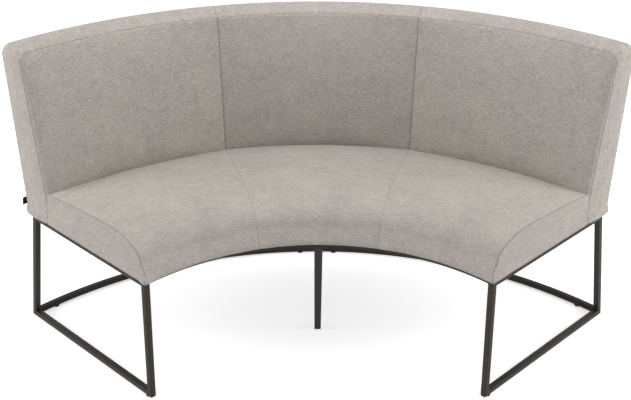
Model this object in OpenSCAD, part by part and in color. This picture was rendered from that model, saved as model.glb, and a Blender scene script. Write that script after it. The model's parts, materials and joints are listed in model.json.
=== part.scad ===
// Curved upholstered banquette bench on a square tube frame.
// Plan angles are measured about the centre of the arc, which lies in front of the bench.
// Radii run from that centre, and heights run up from the floor.

/* [Plan] */
// Half of the angle that the bench sweeps
half_angle = 45.9; // [40:0.1:50]
// Share of the sweep that lies between two panel seams, on each side of the middle
seam_share = 0.3333; // [0.3:0.01:0.37]
// Radius of the front legs at their heads, to the middle of the tube
front_head_r = 647.5; // [630:0.5:665]
// Distance from the front legs' heads back to the rear legs' heads
frame_depth = 512.5; // [490:0.5:530]
// Distance that a front leg's foot stands back from its head
front_leg_lean = 17; // [8:0.5:26]
// Distance that a rear leg's foot stands back from its head
rear_leg_lean = 87; // [60:0.5:100]

/* [Frame tube] */
// Width of the square tube
tube = 18; // [16:0.5:20]
// Wall of the square tube
tube_wall = 1.5; // [1:0.1:2.5]
// Height of the frame, from the underside of the runners to the top of the rails
frame_h = 401.3; // [370:0.1:430]
// Distance from the front legs' middles back to the front rail's middle
front_rail_back = 8.5; // [6:0.5:11]
// Distance from the rear legs' middles forward to the rear top rail's middle
rear_rail_ahead = 8; // [6:0.5:11]

/* [Centre leg] */
// Width of the centre leg at its head
centre_leg_head_w = 24; // [20:0.5:28]
// Width of the centre leg at its foot
centre_leg_foot_w = 20; // [16:0.5:24]
// Depth of the centre leg, measured level
centre_leg_depth = 18; // [15:0.5:22]
// Distance that the centre leg's foot stands back from its head
centre_leg_lean = 139; // [110:1:150]
// Thickness of the leg's tongue, which laps over the front of the rail
tongue_t = 3; // [2:0.5:4]
// Height of the plastic cap under the centre leg
leg_cap_h = 6; // [5:0.5:9]

/* [Glides and fixings] */
// Height of the floor glides
glide_h = 4; // [3:0.5:6]
// Diameter of the floor glides
glide_d = 20; // [18:0.5:22]
// Distance of the two middle glides from the middle of the rear floor rail
middle_glide_x = 58; // [40:1:90]
// Distance of the outer glides from the end frames
outer_glide_in = 72; // [50:1:100]
// Distance of the runner glides from the front legs' feet
runner_glide_back = 10; // [8:1:30]
// Length of the screw tabs
tab_l = 26; // [22:1:34]
// Width of the screw tabs, along the rail
tab_w = 24; // [18:1:30]
// Thickness of the screw tabs
tab_t = 3; // [2:0.5:4]
// Diameter of the wood screws' shanks
screw_d = 4; // [3:0.5:5]
// Length of the wood screws' shanks
screw_l = 16; // [12:1:18]
// Diameter of the back bolts
bolt_d = 8; // [6:0.5:9]
// Length of bolt inside the timber
bolt_grip = 28; // [20:1:34]
// Play between a screw or bolt and its hole, on the diameter
hole_play = 0.6; // [0.4:0.1:1.5]

/* [Seat upholstery] */
// Overhang of the seat's front edge beyond the front rail
seat_overhang = 14.5; // [8:0.5:20]
// Height of the seat at its seams, above the frame
seat_h = 113; // [100:1:125]
// Height of the straight part of the seat's front
nose_h = 50; // [40:1:60]
// Distance that the front leans back over its straight part
front_lean = 26; // [15:1:32]
// Depth of the rounded front edge
nose_depth = 130; // [100:1:150]
// Fall of the seat from its front edge to its rear edge
seat_fall = 16; // [8:1:24]
// Radius of the seat's rear edge
seat_rear_round = 14; // [8:1:20]
// Crown of a seat panel between its seams
seat_crown = 10; // [4:1:16]
// Thickness of the seat cover with its wadding
seat_cover_t = 4; // [3:0.5:5]
// Crown of the fabric on the ends of the seat and the back
end_crown = 4; // [1:0.5:6]

/* [Back upholstery] */
// Distance of the back's front face ahead of the rear top rail's middle
back_ahead = 63; // [55:0.5:75]
// Height of the back at its front top seam, above the frame
back_h = 507; // [440:1:560]
// Height of the crease between seat and back, above the frame
crease_h = 90; // [80:1:95]
// Distance that the front face leans back from the crease to the top
back_lean = 48; // [30:1:60]
// Depth of the back at its foot
back_foot_depth = 116; // [112:0.5:126]
// Depth of the back at its top
back_top_depth = 93; // [88:0.5:100]
// Height of the rear top seam above the front one
top_rise = 5; // [0:0.5:8]
// Crown of a back panel between its seams, where it is greatest
back_crown = 16; // [6:1:20]
// Crown of the band along the top of the back
band_crown = 12; // [4:1:14]
// Crown of the outer back panels
outer_crown = 3; // [1:0.5:5]
// Radius of the back's upper corners
corner_r = 28; // [20:1:36]
// Thickness of the back's covers with their wadding
back_cover_t = 4; // [3:0.5:5]

/* [Seat base] */
// Thickness of the plywood seat boards
board_t = 18; // [15:1:21]
// Depth of the seat's front board
front_board_w = 90; // [70:1:110]
// Depth of the seat's rear board
rear_board_w = 80; // [60:1:100]
// Width of the end boards and cross boards
cross_board_w = 80; // [60:1:100]
// Thickness of the elastic webbing
webbing_t = 2; // [1.5:0.5:3]
// Width of a webbing strap
webbing_w = 60; // [50:1:65]
// Thickness of the dust cover
dust_cover_t = 1; // [0.5:0.5:2]

/* [Back frame] */
// Height of the back frame's bottom rail
bottom_rail_h = 45; // [38:1:55]
// Height of the back frame's top rail
top_rail_h = 45; // [35:1:55]
// Width of the back frame's posts
post_w = 45; // [35:1:50]
// Thickness of the bent plywood back boards
back_board_t = 6; // [4:0.5:8]
// Depth of foam in front of the back boards at the foot
foot_foam_t = 38; // [34:0.5:40]
// Depth of foam in front of the back boards at the top
top_foam_t = 28; // [24:0.5:32]
// Space between the back frame and the outer back panels
outer_gap = 5; // [4:0.5:6]

/* [Tag] */
// Length of the folded fabric tag
tag_l = 15; // [10:1:20]
// Height of the tag
tag_h = 22; // [16:1:28]
// Thickness of the folded tag
tag_t = 1.6; // [1:0.1:2.5]
// Height of the tag above the frame
tag_up = 20; // [15:1:60]

/* [Hidden] */
$fn = 64;

// Colours of the finishes
bronze = "#4b4641";
seat_fabric = "#b3aca2";
back_fabric = "#a1988d";
dark_plastic = "#201f1e";
plywood = "#c9a873";
foam_white = "#e8e2cf";
zinc = "#a9abad";

// Clearances between neighbours
soft_gap = 0.3;
joint_gap = 1;
overrun = 2;

// Places that follow from the driving dimensions
frame_top = glide_h + frame_h;
seam_angle = half_angle * seam_share;
front_foot_r = front_head_r + front_leg_lean;
rear_head_r = front_head_r + frame_depth;
rear_foot_r = rear_head_r + rear_leg_lean;
front_rail_r = front_head_r + front_rail_back;
rear_rail_r = rear_head_r - rear_rail_ahead;
seat_front_r = front_rail_r - tube / 2 - seat_overhang;
back_front_r = rear_rail_r - back_ahead;
seat_rear_r = back_front_r - joint_gap;
back_rear_r = back_front_r + back_foot_depth;
base_top = dust_cover_t + board_t;
foam_base = base_top + webbing_t + soft_gap;
panel_in = seat_cover_t + soft_gap;
frame_in = panel_in + joint_gap;
board_front_r = seat_front_r + front_lean * base_top / nose_h + seat_cover_t + soft_gap + joint_gap * 2;
board_rear_r = back_front_r + back_cover_t + foot_foam_t - soft_gap;
back_floor = dust_cover_t;
back_head = back_h - corner_r;
arc_reach = rear_foot_r * 2;
slot_shares = [-0.8, -0.45, -0.12, 0.12, 0.45, 0.8];
strap_share = 0.55;
tab_screw_share = 0.7;
fall_power = 1.5;

// The origin lies under the middle of the bench's box, so the arc is moved towards the front
leg_front = front_head_r - tube / 2 * sqrt(1 + pow(front_leg_lean / frame_h, 2));
box_front = leg_front * cos(half_angle) - tube / 2 * sin(half_angle);
box_rear = rear_foot_r + tube / 2;
arc_back = (box_front + box_rear) / 2;

// Steps in the soft forms' meshes
panel_steps = 8;
corner_steps = 3;
band_steps = 4;
face_steps = 8;

function lerp(a, b, share) = a + (b - a) * share;

// Point at a radius, a plan angle and a height above the frame
function polar(r, angle, z) = [r * sin(angle), r * cos(angle) - arc_back, frame_top + z];

// Plan angle whose place lies a straight distance in from the plane of the bench's left end
function in_from_end(r, distance) = asin(distance / r) - half_angle;

// Outward directions of a line of points that runs with the outside on its left
function outward(line) = [for (i = [0 : len(line) - 1])
    let (d = line[min(i + 1, len(line) - 1)] - line[max(i - 1, 0)])
    i == 0 ? [-1, 0] : i == len(line) - 1 ? [1, 0] : [-d[1], d[0]] / norm(d)];

// Swell of a panel from seam to seam, one in its middle and nothing at its edges
function swell(share) = 1 - pow(abs(2 * share - 1), 3);

// Closed solid between an outer and an inner grid of points, in triangles
module wrapped(outer, inner) {
    rows = len(outer);
    cols = len(outer[0]);
    points = [for (grid = [outer, inner]) for (row = grid) for (p = row) p];
    function o(i, j) = i * cols + j;
    function n(i, j) = rows * cols + i * cols + j;
    skin = [for (i = [0 : rows - 2]) for (j = [0 : cols - 2]) each [
        [o(i, j), o(i + 1, j + 1), o(i, j + 1)],
        [o(i, j), o(i + 1, j), o(i + 1, j + 1)],
        [n(i, j), n(i, j + 1), n(i + 1, j + 1)],
        [n(i, j), n(i + 1, j + 1), n(i + 1, j)]]];
    low_and_high = [for (j = [0 : cols - 2]) each [
        [o(0, j), o(0, j + 1), n(0, j + 1)],
        [o(0, j), n(0, j + 1), n(0, j)],
        [o(rows - 1, j + 1), o(rows - 1, j), n(rows - 1, j)],
        [o(rows - 1, j + 1), n(rows - 1, j), n(rows - 1, j + 1)]]];
    sides = [for (i = [0 : rows - 2]) each [
        [o(i + 1, 0), o(i, 0), n(i, 0)],
        [o(i + 1, 0), n(i, 0), n(i + 1, 0)],
        [o(i, cols - 1), o(i + 1, cols - 1), n(i + 1, cols - 1)],
        [o(i, cols - 1), n(i + 1, cols - 1), n(i, cols - 1)]]];
    polyhedron(points, concat(skin, low_and_high, sides), convexity = 6);
}

// Moves a piece from the arc's centre to the bench's own origin
module placed() {
    translate([0, -arc_back, 0]) children();
}

// Body of revolution about the arc's centre, from one plan angle to another
module swept(from_angle, to_angle) {
    rotate([0, 0, 90 - to_angle])
        rotate_extrude(angle = to_angle - from_angle, $fn = 360) children();
}

// Room between the end frames, a distance in from the plane of each
module between_ends(distance) {
    apex = distance / sin(half_angle);
    side = arc_reach * sin(half_angle);
    rear = apex + arc_reach * cos(half_angle);
    linear_extrude(height = frame_top + back_h + corner_r)
        polygon([[0, apex], [side, rear], [-side, rear]]);
}

// Turns a piece that is drawn in the plane of X and Z to stand at a plan angle
module at_angle(angle) {
    rotate([0, 0, -angle]) rotate([0, 0, 90]) children();
}

// Plate of an even thickness whose outline is given in radius and height
module upright(outline, thickness) {
    translate([0, thickness / 2, 0]) rotate([90, 0, 0])
        linear_extrude(height = thickness) polygon(outline);
}

// Square tube bent along the arc between the end frames
module curved_tube(radius, bottom) {
    bore = tube - 2 * tube_wall;
    intersection() {
        swept(-half_angle, half_angle) translate([radius - tube / 2, bottom]) difference() {
            square(tube);
            translate([tube_wall, tube_wall]) square(bore);
        }
        between_ends(tube / 2);
    }
}

// Corners of the end frame's ring, in radius and height, a distance in from its middle line
function ring(inset) =
    let (lean_f = front_leg_lean / frame_h, lean_r = rear_leg_lean / frame_h,
         low = glide_h + tube / 2 + inset, high = frame_top - tube / 2 - inset,
         slant_f = inset * sqrt(1 + lean_f * lean_f), slant_r = inset * sqrt(1 + lean_r * lean_r),
         front = function (z) front_foot_r - lean_f * (z - glide_h) + slant_f,
         rear = function (z) rear_foot_r - lean_r * (z - glide_h) - slant_r)
    [[front(low), low], [front(high), high], [rear(high), high], [rear(low), low]];

// Place that lies past a point, on the line that comes from another
function past(point, other) = point + (point - other) * overrun / norm(point - other);

// One member of the end frame's ring, mitred at both ends
module ring_member(side, from, to) {
    outer = ring(-tube / 2);
    inner = ring(tube / 2);
    outer_bore = ring(tube_wall - tube / 2);
    inner_bore = ring(tube / 2 - tube_wall);
    placed() at_angle(side * half_angle) difference() {
        upright([outer[from], outer[to], inner[to], inner[from]], tube);
        upright([
            past(outer_bore[from], outer_bore[to]), past(outer_bore[to], outer_bore[from]),
            past(inner_bore[to], inner_bore[from]), past(inner_bore[from], inner_bore[to])],
            tube - 2 * tube_wall);
    }
}

module front_rail() {
    color(bronze) placed() curved_tube(front_rail_r, frame_top - tube);
}

module rear_top_rail() {
    color(bronze) placed() difference() {
        curved_tube(rear_rail_r, frame_top - tube);
        bolt_holes();
    }
}

module rear_floor_rail() {
    color(bronze) placed() curved_tube(rear_foot_r, glide_h);
}

// Straight tube under a panel seam, from the front rail to the rear top rail
module cross_rail(side) {
    bore = tube - 2 * tube_wall;
    length = rear_rail_r - front_rail_r;
    color(bronze) placed() intersection() {
        rotate([0, 0, -side * seam_angle]) translate([-tube / 2, front_rail_r, frame_top - tube])
            difference() {
                cube([tube, length, tube]);
                translate([tube_wall, -overrun, tube_wall]) cube([bore, length + overrun * 2, bore]);
            }
        difference() {
            swept(-half_angle, half_angle)
                translate([front_rail_r + tube / 2, 0])
                square([rear_rail_r - front_rail_r - tube, frame_top + overrun]);
        }
    }
}

module left_cross_rail() { cross_rail(-1); }
module right_cross_rail() { cross_rail(1); }
module left_front_leg() { color(bronze) ring_member(-1, 0, 1); }
module right_front_leg() { color(bronze) ring_member(1, 0, 1); }
module left_top_rail() { color(bronze) ring_member(-1, 1, 2); }
module right_top_rail() { color(bronze) ring_member(1, 1, 2); }
module left_rear_leg() { color(bronze) ring_member(-1, 2, 3); }
module right_rear_leg() { color(bronze) ring_member(1, 2, 3); }
module left_floor_runner() { color(bronze) ring_member(-1, 3, 0); }
module right_floor_runner() { color(bronze) ring_member(1, 3, 0); }

// Front of the centre leg at a height
function centre_leg_front(z) =
    front_rail_r - tube / 2 + centre_leg_lean * (frame_top - tube - z) / (frame_top - tube);

// Space that the centre leg fills between two heights, tapering in width towards its foot
module centre_leg_part(low, high) {
    foot_w = centre_leg_foot_w / 2;
    head_w = centre_leg_head_w / 2;
    intersection() {
        at_angle(0) upright([
            [centre_leg_front(low), low], [centre_leg_front(high), high],
            [centre_leg_front(high) + centre_leg_depth, high],
            [centre_leg_front(low) + centre_leg_depth, low]], centre_leg_head_w);
        translate([0, arc_reach, 0]) rotate([90, 0, 0]) linear_extrude(height = arc_reach)
            polygon([[-foot_w, 0], [foot_w, 0], [head_w, frame_top], [-head_w, frame_top]]);
    }
}

module centre_leg() {
    face = front_rail_r - tube / 2;
    drop = tube + tongue_t * 2;
    color(bronze) placed() {
        centre_leg_part(leg_cap_h, frame_top - tube);
        difference() {
            translate([-centre_leg_head_w / 2, face - tongue_t * 2, frame_top - drop])
                cube([centre_leg_head_w, tongue_t * 3 , drop]);
            translate([0, 0, frame_top - tube])
                cylinder(r = face - tongue_t, h = tube + overrun, $fn = 128);
            translate([0, 0, frame_top - drop - overrun])
                cylinder(r = face - tongue_t, h = drop, $fn = 128);
            translate([0, 0, frame_top - tube]) difference() {
                cylinder(r = arc_reach, h = tube + overrun, $fn = 128);
                translate([0, 0, -overrun]) cylinder(r = face, h = tube + overrun * 3, $fn = 128);
            }
        }
    }
}

module centre_leg_cap() {
    color(dark_plastic) placed() centre_leg_part(0, leg_cap_h);
}

// Round glides under the rear floor rail and under the runners
module floor_glides() {
    outer = half_angle - asin(outer_glide_in / rear_foot_r);
    middle = asin(middle_glide_x / rear_foot_r);
    color(dark_plastic) placed() {
        for (angle = [-outer, -middle, middle, outer])
            at_angle(angle) translate([rear_foot_r, 0, 0]) glide();
        for (side = [-1, 1])
            at_angle(side * half_angle) translate([front_foot_r + runner_glide_back, 0, 0]) glide();
    }
}

module glide() {
    chamfer = glide_h / 4;
    rotate_extrude() polygon([[0, 0], [glide_d / 2 - chamfer, 0], [glide_d / 2, chamfer],
        [glide_d / 2, glide_h], [0, glide_h]]);
}

// Places of the tabs' screws: radius and plan angle
tab_places = [for (slot = slot_shares) each [
    [front_rail_r + tube / 2 + tab_l * tab_screw_share, slot * half_angle],
    [rear_rail_r - tube / 2 - tab_l * tab_screw_share, slot * half_angle]]];

module screw_tabs() {
    color(bronze) placed() intersection() {
        for (place = tab_places)
            at_angle(place[1]) translate([place[0] - tab_l, -tab_w / 2, frame_top - tab_t])
                difference() {
                    cube([tab_l * 2, tab_w, tab_t]);
                    translate([tab_l, tab_w / 2, -overrun])
                        cylinder(d = screw_d + hole_play, h = tab_t + overrun * 2);
                }
        swept(-half_angle, half_angle) {
            translate([front_rail_r + tube / 2, 0]) square([tab_l, frame_top]);
            translate([rear_rail_r - tube / 2 - tab_l, 0]) square([tab_l, frame_top]);
        }
    }
}

module seat_screws() {
    color(zinc) placed() for (place = tab_places)
        at_angle(place[1]) translate([place[0], 0, frame_top - tab_t]) {
            translate([0, 0, -screw_d / 2]) cylinder(d1 = screw_d, d2 = screw_d * 2, h = screw_d / 2);
            cylinder(d = screw_d, h = screw_l);
        }
}

module screw_holes() {
    for (place = tab_places)
        at_angle(place[1]) translate([place[0], 0, frame_top - overrun])
            cylinder(d = screw_d + hole_play, h = screw_l + overrun);
}

bolt_places = [for (slot = slot_shares) slot * half_angle];

module back_bolts() {
    head_h = bolt_d * 0.6;
    color(zinc) placed() for (angle = bolt_places)
        at_angle(angle) translate([rear_rail_r, 0, frame_top - tube]) {
            translate([0, 0, -head_h]) cylinder(d = bolt_d * 1.8, h = head_h, $fn = 6);
            cylinder(d = bolt_d, h = tube + dust_cover_t + bolt_grip);
        }
}

module bolt_holes() {
    for (angle = bolt_places)
        at_angle(angle) translate([rear_rail_r, 0, frame_top - tube - overrun])
            cylinder(d = bolt_d + hole_play, h = tube + dust_cover_t + bolt_grip + overrun * 2);
}

module dust_cover() {
    color("#2a2928") placed() difference() {
        intersection() {
            swept(-half_angle, half_angle) translate([board_front_r, frame_top])
                square([rear_board_line(0) - board_front_r, dust_cover_t]);
            between_ends(frame_in);
        }
        screw_holes();
        bolt_holes();
    }
}

// Rear edge of the back frame at a height above the steel frame
function rear_board_line(z) = outer_r(z) - back_cover_t - outer_gap;

// Curved plywood board between two radii, on the dust cover
module seat_board(from_r, to_r) {
    color(plywood) placed() difference() {
        intersection() {
            swept(-half_angle, half_angle) translate([from_r, frame_top + dust_cover_t])
                square([to_r - from_r, board_t]);
            between_ends(frame_in);
        }
        screw_holes();
    }
}

module seat_front_board() { seat_board(board_front_r, board_front_r + front_board_w); }
module seat_rear_board() { seat_board(board_rear_r - rear_board_w, board_rear_r); }

// Plywood board from the front board back to the rear board
module radial_board(angle, shift) {
    color(plywood) placed() intersection() {
        rotate([0, 0, -angle])
            translate([shift - cross_board_w / 2, 0, frame_top + dust_cover_t])
            cube([cross_board_w, arc_reach, board_t]);
        swept(-half_angle, half_angle) translate([board_front_r + front_board_w, 0])
            square([board_rear_r - rear_board_w - board_front_r - front_board_w,
                frame_top + back_h]);
        between_ends(frame_in);
    }
}

module left_seat_end_board() { radial_board(-half_angle, cross_board_w / 2 + frame_in); }
module right_seat_end_board() { radial_board(half_angle, -cross_board_w / 2 - frame_in); }
module left_seat_cross_board() { radial_board(-seam_angle, 0); }
module right_seat_cross_board() { radial_board(seam_angle, 0); }

// Elastic straps from the front board to the rear board, three to a panel
module seat_webbing() {
    lap = front_board_w / 3;
    from_r = board_front_r + front_board_w - lap;
    to_r = board_rear_r - rear_board_w + lap;
    color("#4c453c") placed() for (panel = [-1, 0, 1]) for (step = [-1, 0, 1])
        at_angle(panel * 2 * seam_angle + step * seam_angle * strap_share)
            translate([from_r, -webbing_w / 2, frame_top + base_top])
            cube([to_r - from_r, webbing_w, webbing_t]);
}

// Section of the seat at its seams: up the front, over the top and down the rear edge
seat_section =
    let (top_r = seat_front_r + front_lean + nose_depth,
         rear_top = seat_h - seat_fall, top_depth = seat_rear_r - seat_rear_round - top_r)
    concat(
        [for (share = [0, 0.5, 1])
            [seat_front_r + front_lean * share, lerp(soft_gap, nose_h, share)]],
        [for (step = [1 : 4]) let (turn = 90 * step / 4)
            [seat_front_r + front_lean + nose_depth * (1 - cos(turn)),
             lerp(nose_h, seat_h, sin(turn))]],
        [for (step = [1 : 4]) let (share = step / 4)
            [top_r + top_depth * share, seat_h - seat_fall * pow(share, fall_power)]],
        [for (step = [1 : 2]) let (turn = 45 * step)
            [seat_rear_r - seat_rear_round * (1 - sin(turn)),
             rear_top - seat_rear_round * (1 - cos(turn))]],
        [[seat_rear_r, foam_base]]);
seat_out = outward(seat_section);
seat_last = len(seat_section) - 1;

// Swell along the seat's section, full on the top and gone where the rear edge turns down
swell_rows = seat_last - 3;
lead_share = 0.6;
function seat_swell(row) = row >= swell_rows ? 0
    : sqrt(sin(180 * (row + lead_share) / (swell_rows + lead_share)));

// Outer or inner surface of a seat panel between two seams
function seat_grid(from_angle, from_in, to_angle, inset) =
    [for (i = [0 : seat_last]) [for (j = [0 : panel_steps])
        let (share = j / panel_steps,
             rise = seat_crown * seat_swell(i) * swell(share),
             p = seat_section[i] + seat_out[i] * (rise - inset),
             angle = lerp(from_angle + asin(from_in / p[0]), to_angle - asin(soft_gap / 2 / p[0]),
                 share))
        polar(p[0], angle, p[1])]];

// Underside of a seat foam: behind the front lip, then along the webbing
function seat_under(from_angle, from_in, to_angle) =
    let (lip = board_front_r - soft_gap, rear = seat_rear_r - panel_in * 2)
    [for (i = [0 : seat_last])
        let (z = i == 0 ? soft_gap : foam_base,
             r = i < 2 ? lip : lerp(lip, rear, i / seat_last))
        [for (j = [0 : panel_steps])
            polar(r, lerp(from_angle + asin(from_in / r), to_angle - asin(soft_gap / 2 / r),
                j / panel_steps), z)]];

module end_seat_cover() {
    color(seat_fabric) wrapped(seat_grid(-half_angle, panel_in, -seam_angle, 0),
        seat_grid(-half_angle, panel_in, -seam_angle, seat_cover_t));
}

module end_seat_foam() {
    color(foam_white) wrapped(seat_grid(-half_angle, panel_in, -seam_angle, panel_in),
        seat_under(-half_angle, panel_in, -seam_angle));
}

module left_seat_cover() { end_seat_cover(); }
module right_seat_cover() { mirror([1, 0, 0]) end_seat_cover(); }
module left_seat_foam() { end_seat_foam(); }
module right_seat_foam() { mirror([1, 0, 0]) end_seat_foam(); }

module centre_seat_cover() {
    color(seat_fabric) wrapped(seat_grid(-seam_angle, soft_gap / 2, seam_angle, 0),
        seat_grid(-seam_angle, soft_gap / 2, seam_angle, seat_cover_t));
}

module centre_seat_foam() {
    color(foam_white) wrapped(seat_grid(-seam_angle, soft_gap / 2, seam_angle, panel_in),
        seat_under(-seam_angle, soft_gap / 2, seam_angle));
}

// Fabric on the seat's end, between its section and the steel frame
function seat_end_grid(out) =
    [for (i = [0 : seat_last]) [for (j = [0 : band_steps])
        let (share = j / band_steps,
             foot = [lerp(seat_front_r + seat_cover_t, seat_rear_r, i / seat_last), soft_gap],
             p = lerp(foot, seat_section[i], share),
             rise = out * sin(180 * share) * sin(180 * i / seat_last),
             bulge = out < 0 ? out : rise)
        polar(p[0], in_from_end(p[0], -bulge), p[1])]];

module seat_end_panel() {
    color(seat_fabric) wrapped(seat_end_grid(end_crown), seat_end_grid(-seat_cover_t));
}

module left_seat_end_panel() { seat_end_panel(); }
module right_seat_end_panel() { mirror([1, 0, 0]) seat_end_panel(); }

// Front face of the back at its seams, at a height above the frame
function face_r(z) =
    back_front_r + back_lean * max(0, z - crease_h) / (back_h - crease_h);

// Rear face of the back at a height above the frame
function outer_r(z) =
    lerp(back_rear_r, back_front_r + back_lean + back_top_depth, z / back_h);

// Front of the bent plywood boards at a height above the frame
function board_r(z) = lerp(back_front_r + back_cover_t + foot_foam_t,
    back_front_r + back_lean + back_cover_t + top_foam_t, z / back_h);

// Places across a back panel: distance in from the bench's end, drop of the top, share
function back_column(j, rim, to_angle, r) =
    let (turn = 90 * j / corner_steps, round_r = corner_r - rim)
    j <= corner_steps
        ? in_from_end(r, rim + round_r * (1 - cos(turn)))
        : lerp(in_from_end(r, corner_r), to_angle - asin(soft_gap / 2 / r),
            (j - corner_steps) / (face_steps - 1));
function back_drop(j, rim) = j <= corner_steps
    ? rim + (corner_r - rim) * (1 - sin(90 * j / corner_steps)) : rim;
function rear_rise(j) = top_rise * sin(90 * min(j, corner_steps) / corner_steps);

// Heights up the front face, as shares of the way from the crease to the top edge
rise_shares = [0, 0.06, 0.16, 0.3, 0.46, 0.62, 0.78, 0.92, 1];

// Swell up the face, greatest just above the crease
function back_swell(share) =
    share <= 0 ? 0 : pow(share, 0.3) * (1 - pow(share, 8)) * (1 - 0.4 * share);

// Heights of the rows of a back panel whose top edge lies at a height
function back_rows(top) = concat([base_top + soft_gap, (base_top + crease_h) / 2],
    [for (share = rise_shares) lerp(crease_h, top, share)]);

// Surface of a back panel beside the bench's end, or of the middle panel
function end_back_grid(inset, rim) =
    let (last = corner_steps + face_steps - 1)
    [for (i = [0 : len(rise_shares) + 1]) [for (j = [0 : last])
        let (z = back_rows(back_h - back_drop(j, rim))[i],
             share = i < 2 ? 0 : rise_shares[i - 2],
             rise = back_crown * back_swell(share) * swell(j / last),
             r = face_r(z) - rise + inset)
        polar(r, back_column(j, rim, -seam_angle, r), z)]];

function middle_back_grid(inset, rim) =
    [for (i = [0 : len(rise_shares) + 1]) [for (j = [0 : panel_steps])
        let (z = back_rows(back_h - rim)[i],
             share = i < 2 ? 0 : rise_shares[i - 2],
             rise = back_crown * back_swell(share) * swell(j / panel_steps),
             r = face_r(z) - rise + inset,
             edge = seam_angle - asin(soft_gap / 2 / r))
        polar(r, lerp(-edge, edge, j / panel_steps), z)]];

// Rear surface of a back foam, against the bent boards
function end_back_rear(rim) =
    [for (i = [0 : len(rise_shares) + 1]) [for (j = [0 : corner_steps + face_steps - 1])
        let (z = back_rows(back_h - back_drop(j, rim))[i], r = board_r(z) - soft_gap)
        polar(r, back_column(j, rim, -seam_angle, r), z)]];

function middle_back_rear(rim) =
    [for (i = [0 : len(rise_shares) + 1]) [for (j = [0 : panel_steps])
        let (z = back_rows(back_h - rim)[i], r = board_r(z) - soft_gap,
             edge = seam_angle - asin(soft_gap / 2 / r))
        polar(r, lerp(-edge, edge, j / panel_steps), z)]];

back_rim = back_cover_t + soft_gap;

module end_back_cover() {
    color(back_fabric) wrapped(end_back_grid(0, back_rim), end_back_grid(back_cover_t, back_rim));
}

module end_back_foam() {
    color(foam_white) wrapped(end_back_grid(back_rim, back_rim), end_back_rear(back_rim));
}

module left_back_cover() { end_back_cover(); }
module right_back_cover() { mirror([1, 0, 0]) end_back_cover(); }
module left_back_foam() { end_back_foam(); }
module right_back_foam() { mirror([1, 0, 0]) end_back_foam(); }

module centre_back_cover() {
    color(back_fabric)
        wrapped(middle_back_grid(0, back_rim), middle_back_grid(back_cover_t, back_rim));
}

module centre_back_foam() {
    color(foam_white) wrapped(middle_back_grid(back_rim, back_rim), middle_back_rear(back_rim));
}

// Stations along the band: up the bench's end, round the corner and along the top.
// Each gives a height, an outward direction, and how far along the top it lies.
band_up = 6;
band_stations = concat(
    [for (step = [0 : band_up - 1])
        [lerp(soft_gap, back_head, step / band_up), 1, 0, 0]],
    [for (step = [0 : corner_steps]) let (turn = 90 * step / corner_steps)
        [back_h - corner_r * (1 - sin(turn)), cos(turn), sin(turn), 0]],
    [for (step = [1 : face_steps - 1]) [back_h, 0, 1, step / (face_steps - 1)]]);

function band_crown_at(across, along) =
    lerp(end_crown, band_crown, along) * sin(180 * across);

function end_band_grid(inset) =
    [for (i = [0 : band_steps]) [for (s = band_stations)
        let (across = i / band_steps,
             out = inset > 0 ? -inset : band_crown_at(across, s[2]),
             r = lerp(face_r(s[0]), outer_r(s[0]), across),
             z = s[0] + top_rise * across * s[2] + out * s[2],
             sideways = corner_r * (1 - s[1]) - out * s[1])
        polar(r, lerp(in_from_end(r, sideways), -seam_angle - asin(soft_gap / 2 / r), s[3]), z)]];

function middle_band_grid(inset) =
    [for (i = [0 : band_steps]) [for (j = [0 : panel_steps])
        let (across = i / band_steps,
             out = inset > 0 ? -inset : band_crown_at(across, 1),
             r = lerp(face_r(back_h), outer_r(back_h), across),
             edge = seam_angle - asin(soft_gap / 2 / r))
        polar(r, lerp(-edge, edge, j / panel_steps), back_h + top_rise * across + out)]];

module end_back_band() {
    color(seat_fabric) wrapped(end_band_grid(0), end_band_grid(back_cover_t));
}

module left_back_band() { end_back_band(); }
module right_back_band() { mirror([1, 0, 0]) end_back_band(); }

module centre_back_band() {
    color(seat_fabric) wrapped(middle_band_grid(0), middle_band_grid(back_cover_t));
}

// Surface of an outer back panel, from the far side so that its outside faces the rear
outer_rows = 5;
function end_outer_grid(inset) =
    let (last = corner_steps + face_steps - 1)
    [for (i = [0 : outer_rows]) [for (k = [0 : last])
        let (j = last - k, share = i / outer_rows,
             z = lerp(soft_gap, back_h + rear_rise(j) - back_drop(j, back_rim), share),
             rise = outer_crown * sin(180 * share) * swell(j / last),
             r = outer_r(z) + rise - inset)
        polar(r, back_column(j, back_rim, -seam_angle, r), z)]];

function middle_outer_grid(inset) =
    [for (i = [0 : outer_rows]) [for (j = [0 : panel_steps])
        let (share = i / outer_rows,
             z = lerp(soft_gap, back_h + top_rise - back_rim, share),
             rise = outer_crown * sin(180 * share) * swell(j / panel_steps),
             r = outer_r(z) + rise - inset,
             edge = seam_angle - asin(soft_gap / 2 / r))
        polar(r, lerp(edge, -edge, j / panel_steps), z)]];

module end_outer_back() {
    color(back_fabric) wrapped(end_outer_grid(0), end_outer_grid(back_cover_t));
}

module left_outer_back() { end_outer_back(); }
module right_outer_back() { mirror([1, 0, 0]) end_outer_back(); }

module centre_outer_back() {
    color(back_fabric) wrapped(middle_outer_grid(0), middle_outer_grid(back_cover_t));
}

// Rear line of the posts and rails, clear of the outer back panels
function post_rear(z) = outer_r(z) - back_cover_t - outer_gap;
function post_front(z) = board_r(z) + back_board_t;

// Outline in radius and height between two lines that change with height
function slab(front, rear, low, high) = [
    [front(low), frame_top + low], [rear(low), frame_top + low],
    [rear(high), frame_top + high], [front(high), frame_top + high]];

post_low = back_floor + bottom_rail_h;
post_high = back_head - top_rail_h;

module back_bottom_rail() {
    color(plywood) placed() difference() {
        intersection() {
            swept(-half_angle, half_angle) polygon(slab(function (z) post_front(z),
                function (z) post_rear(z), back_floor, post_low));
            between_ends(frame_in);
        }
        bolt_holes();
    }
}

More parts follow.
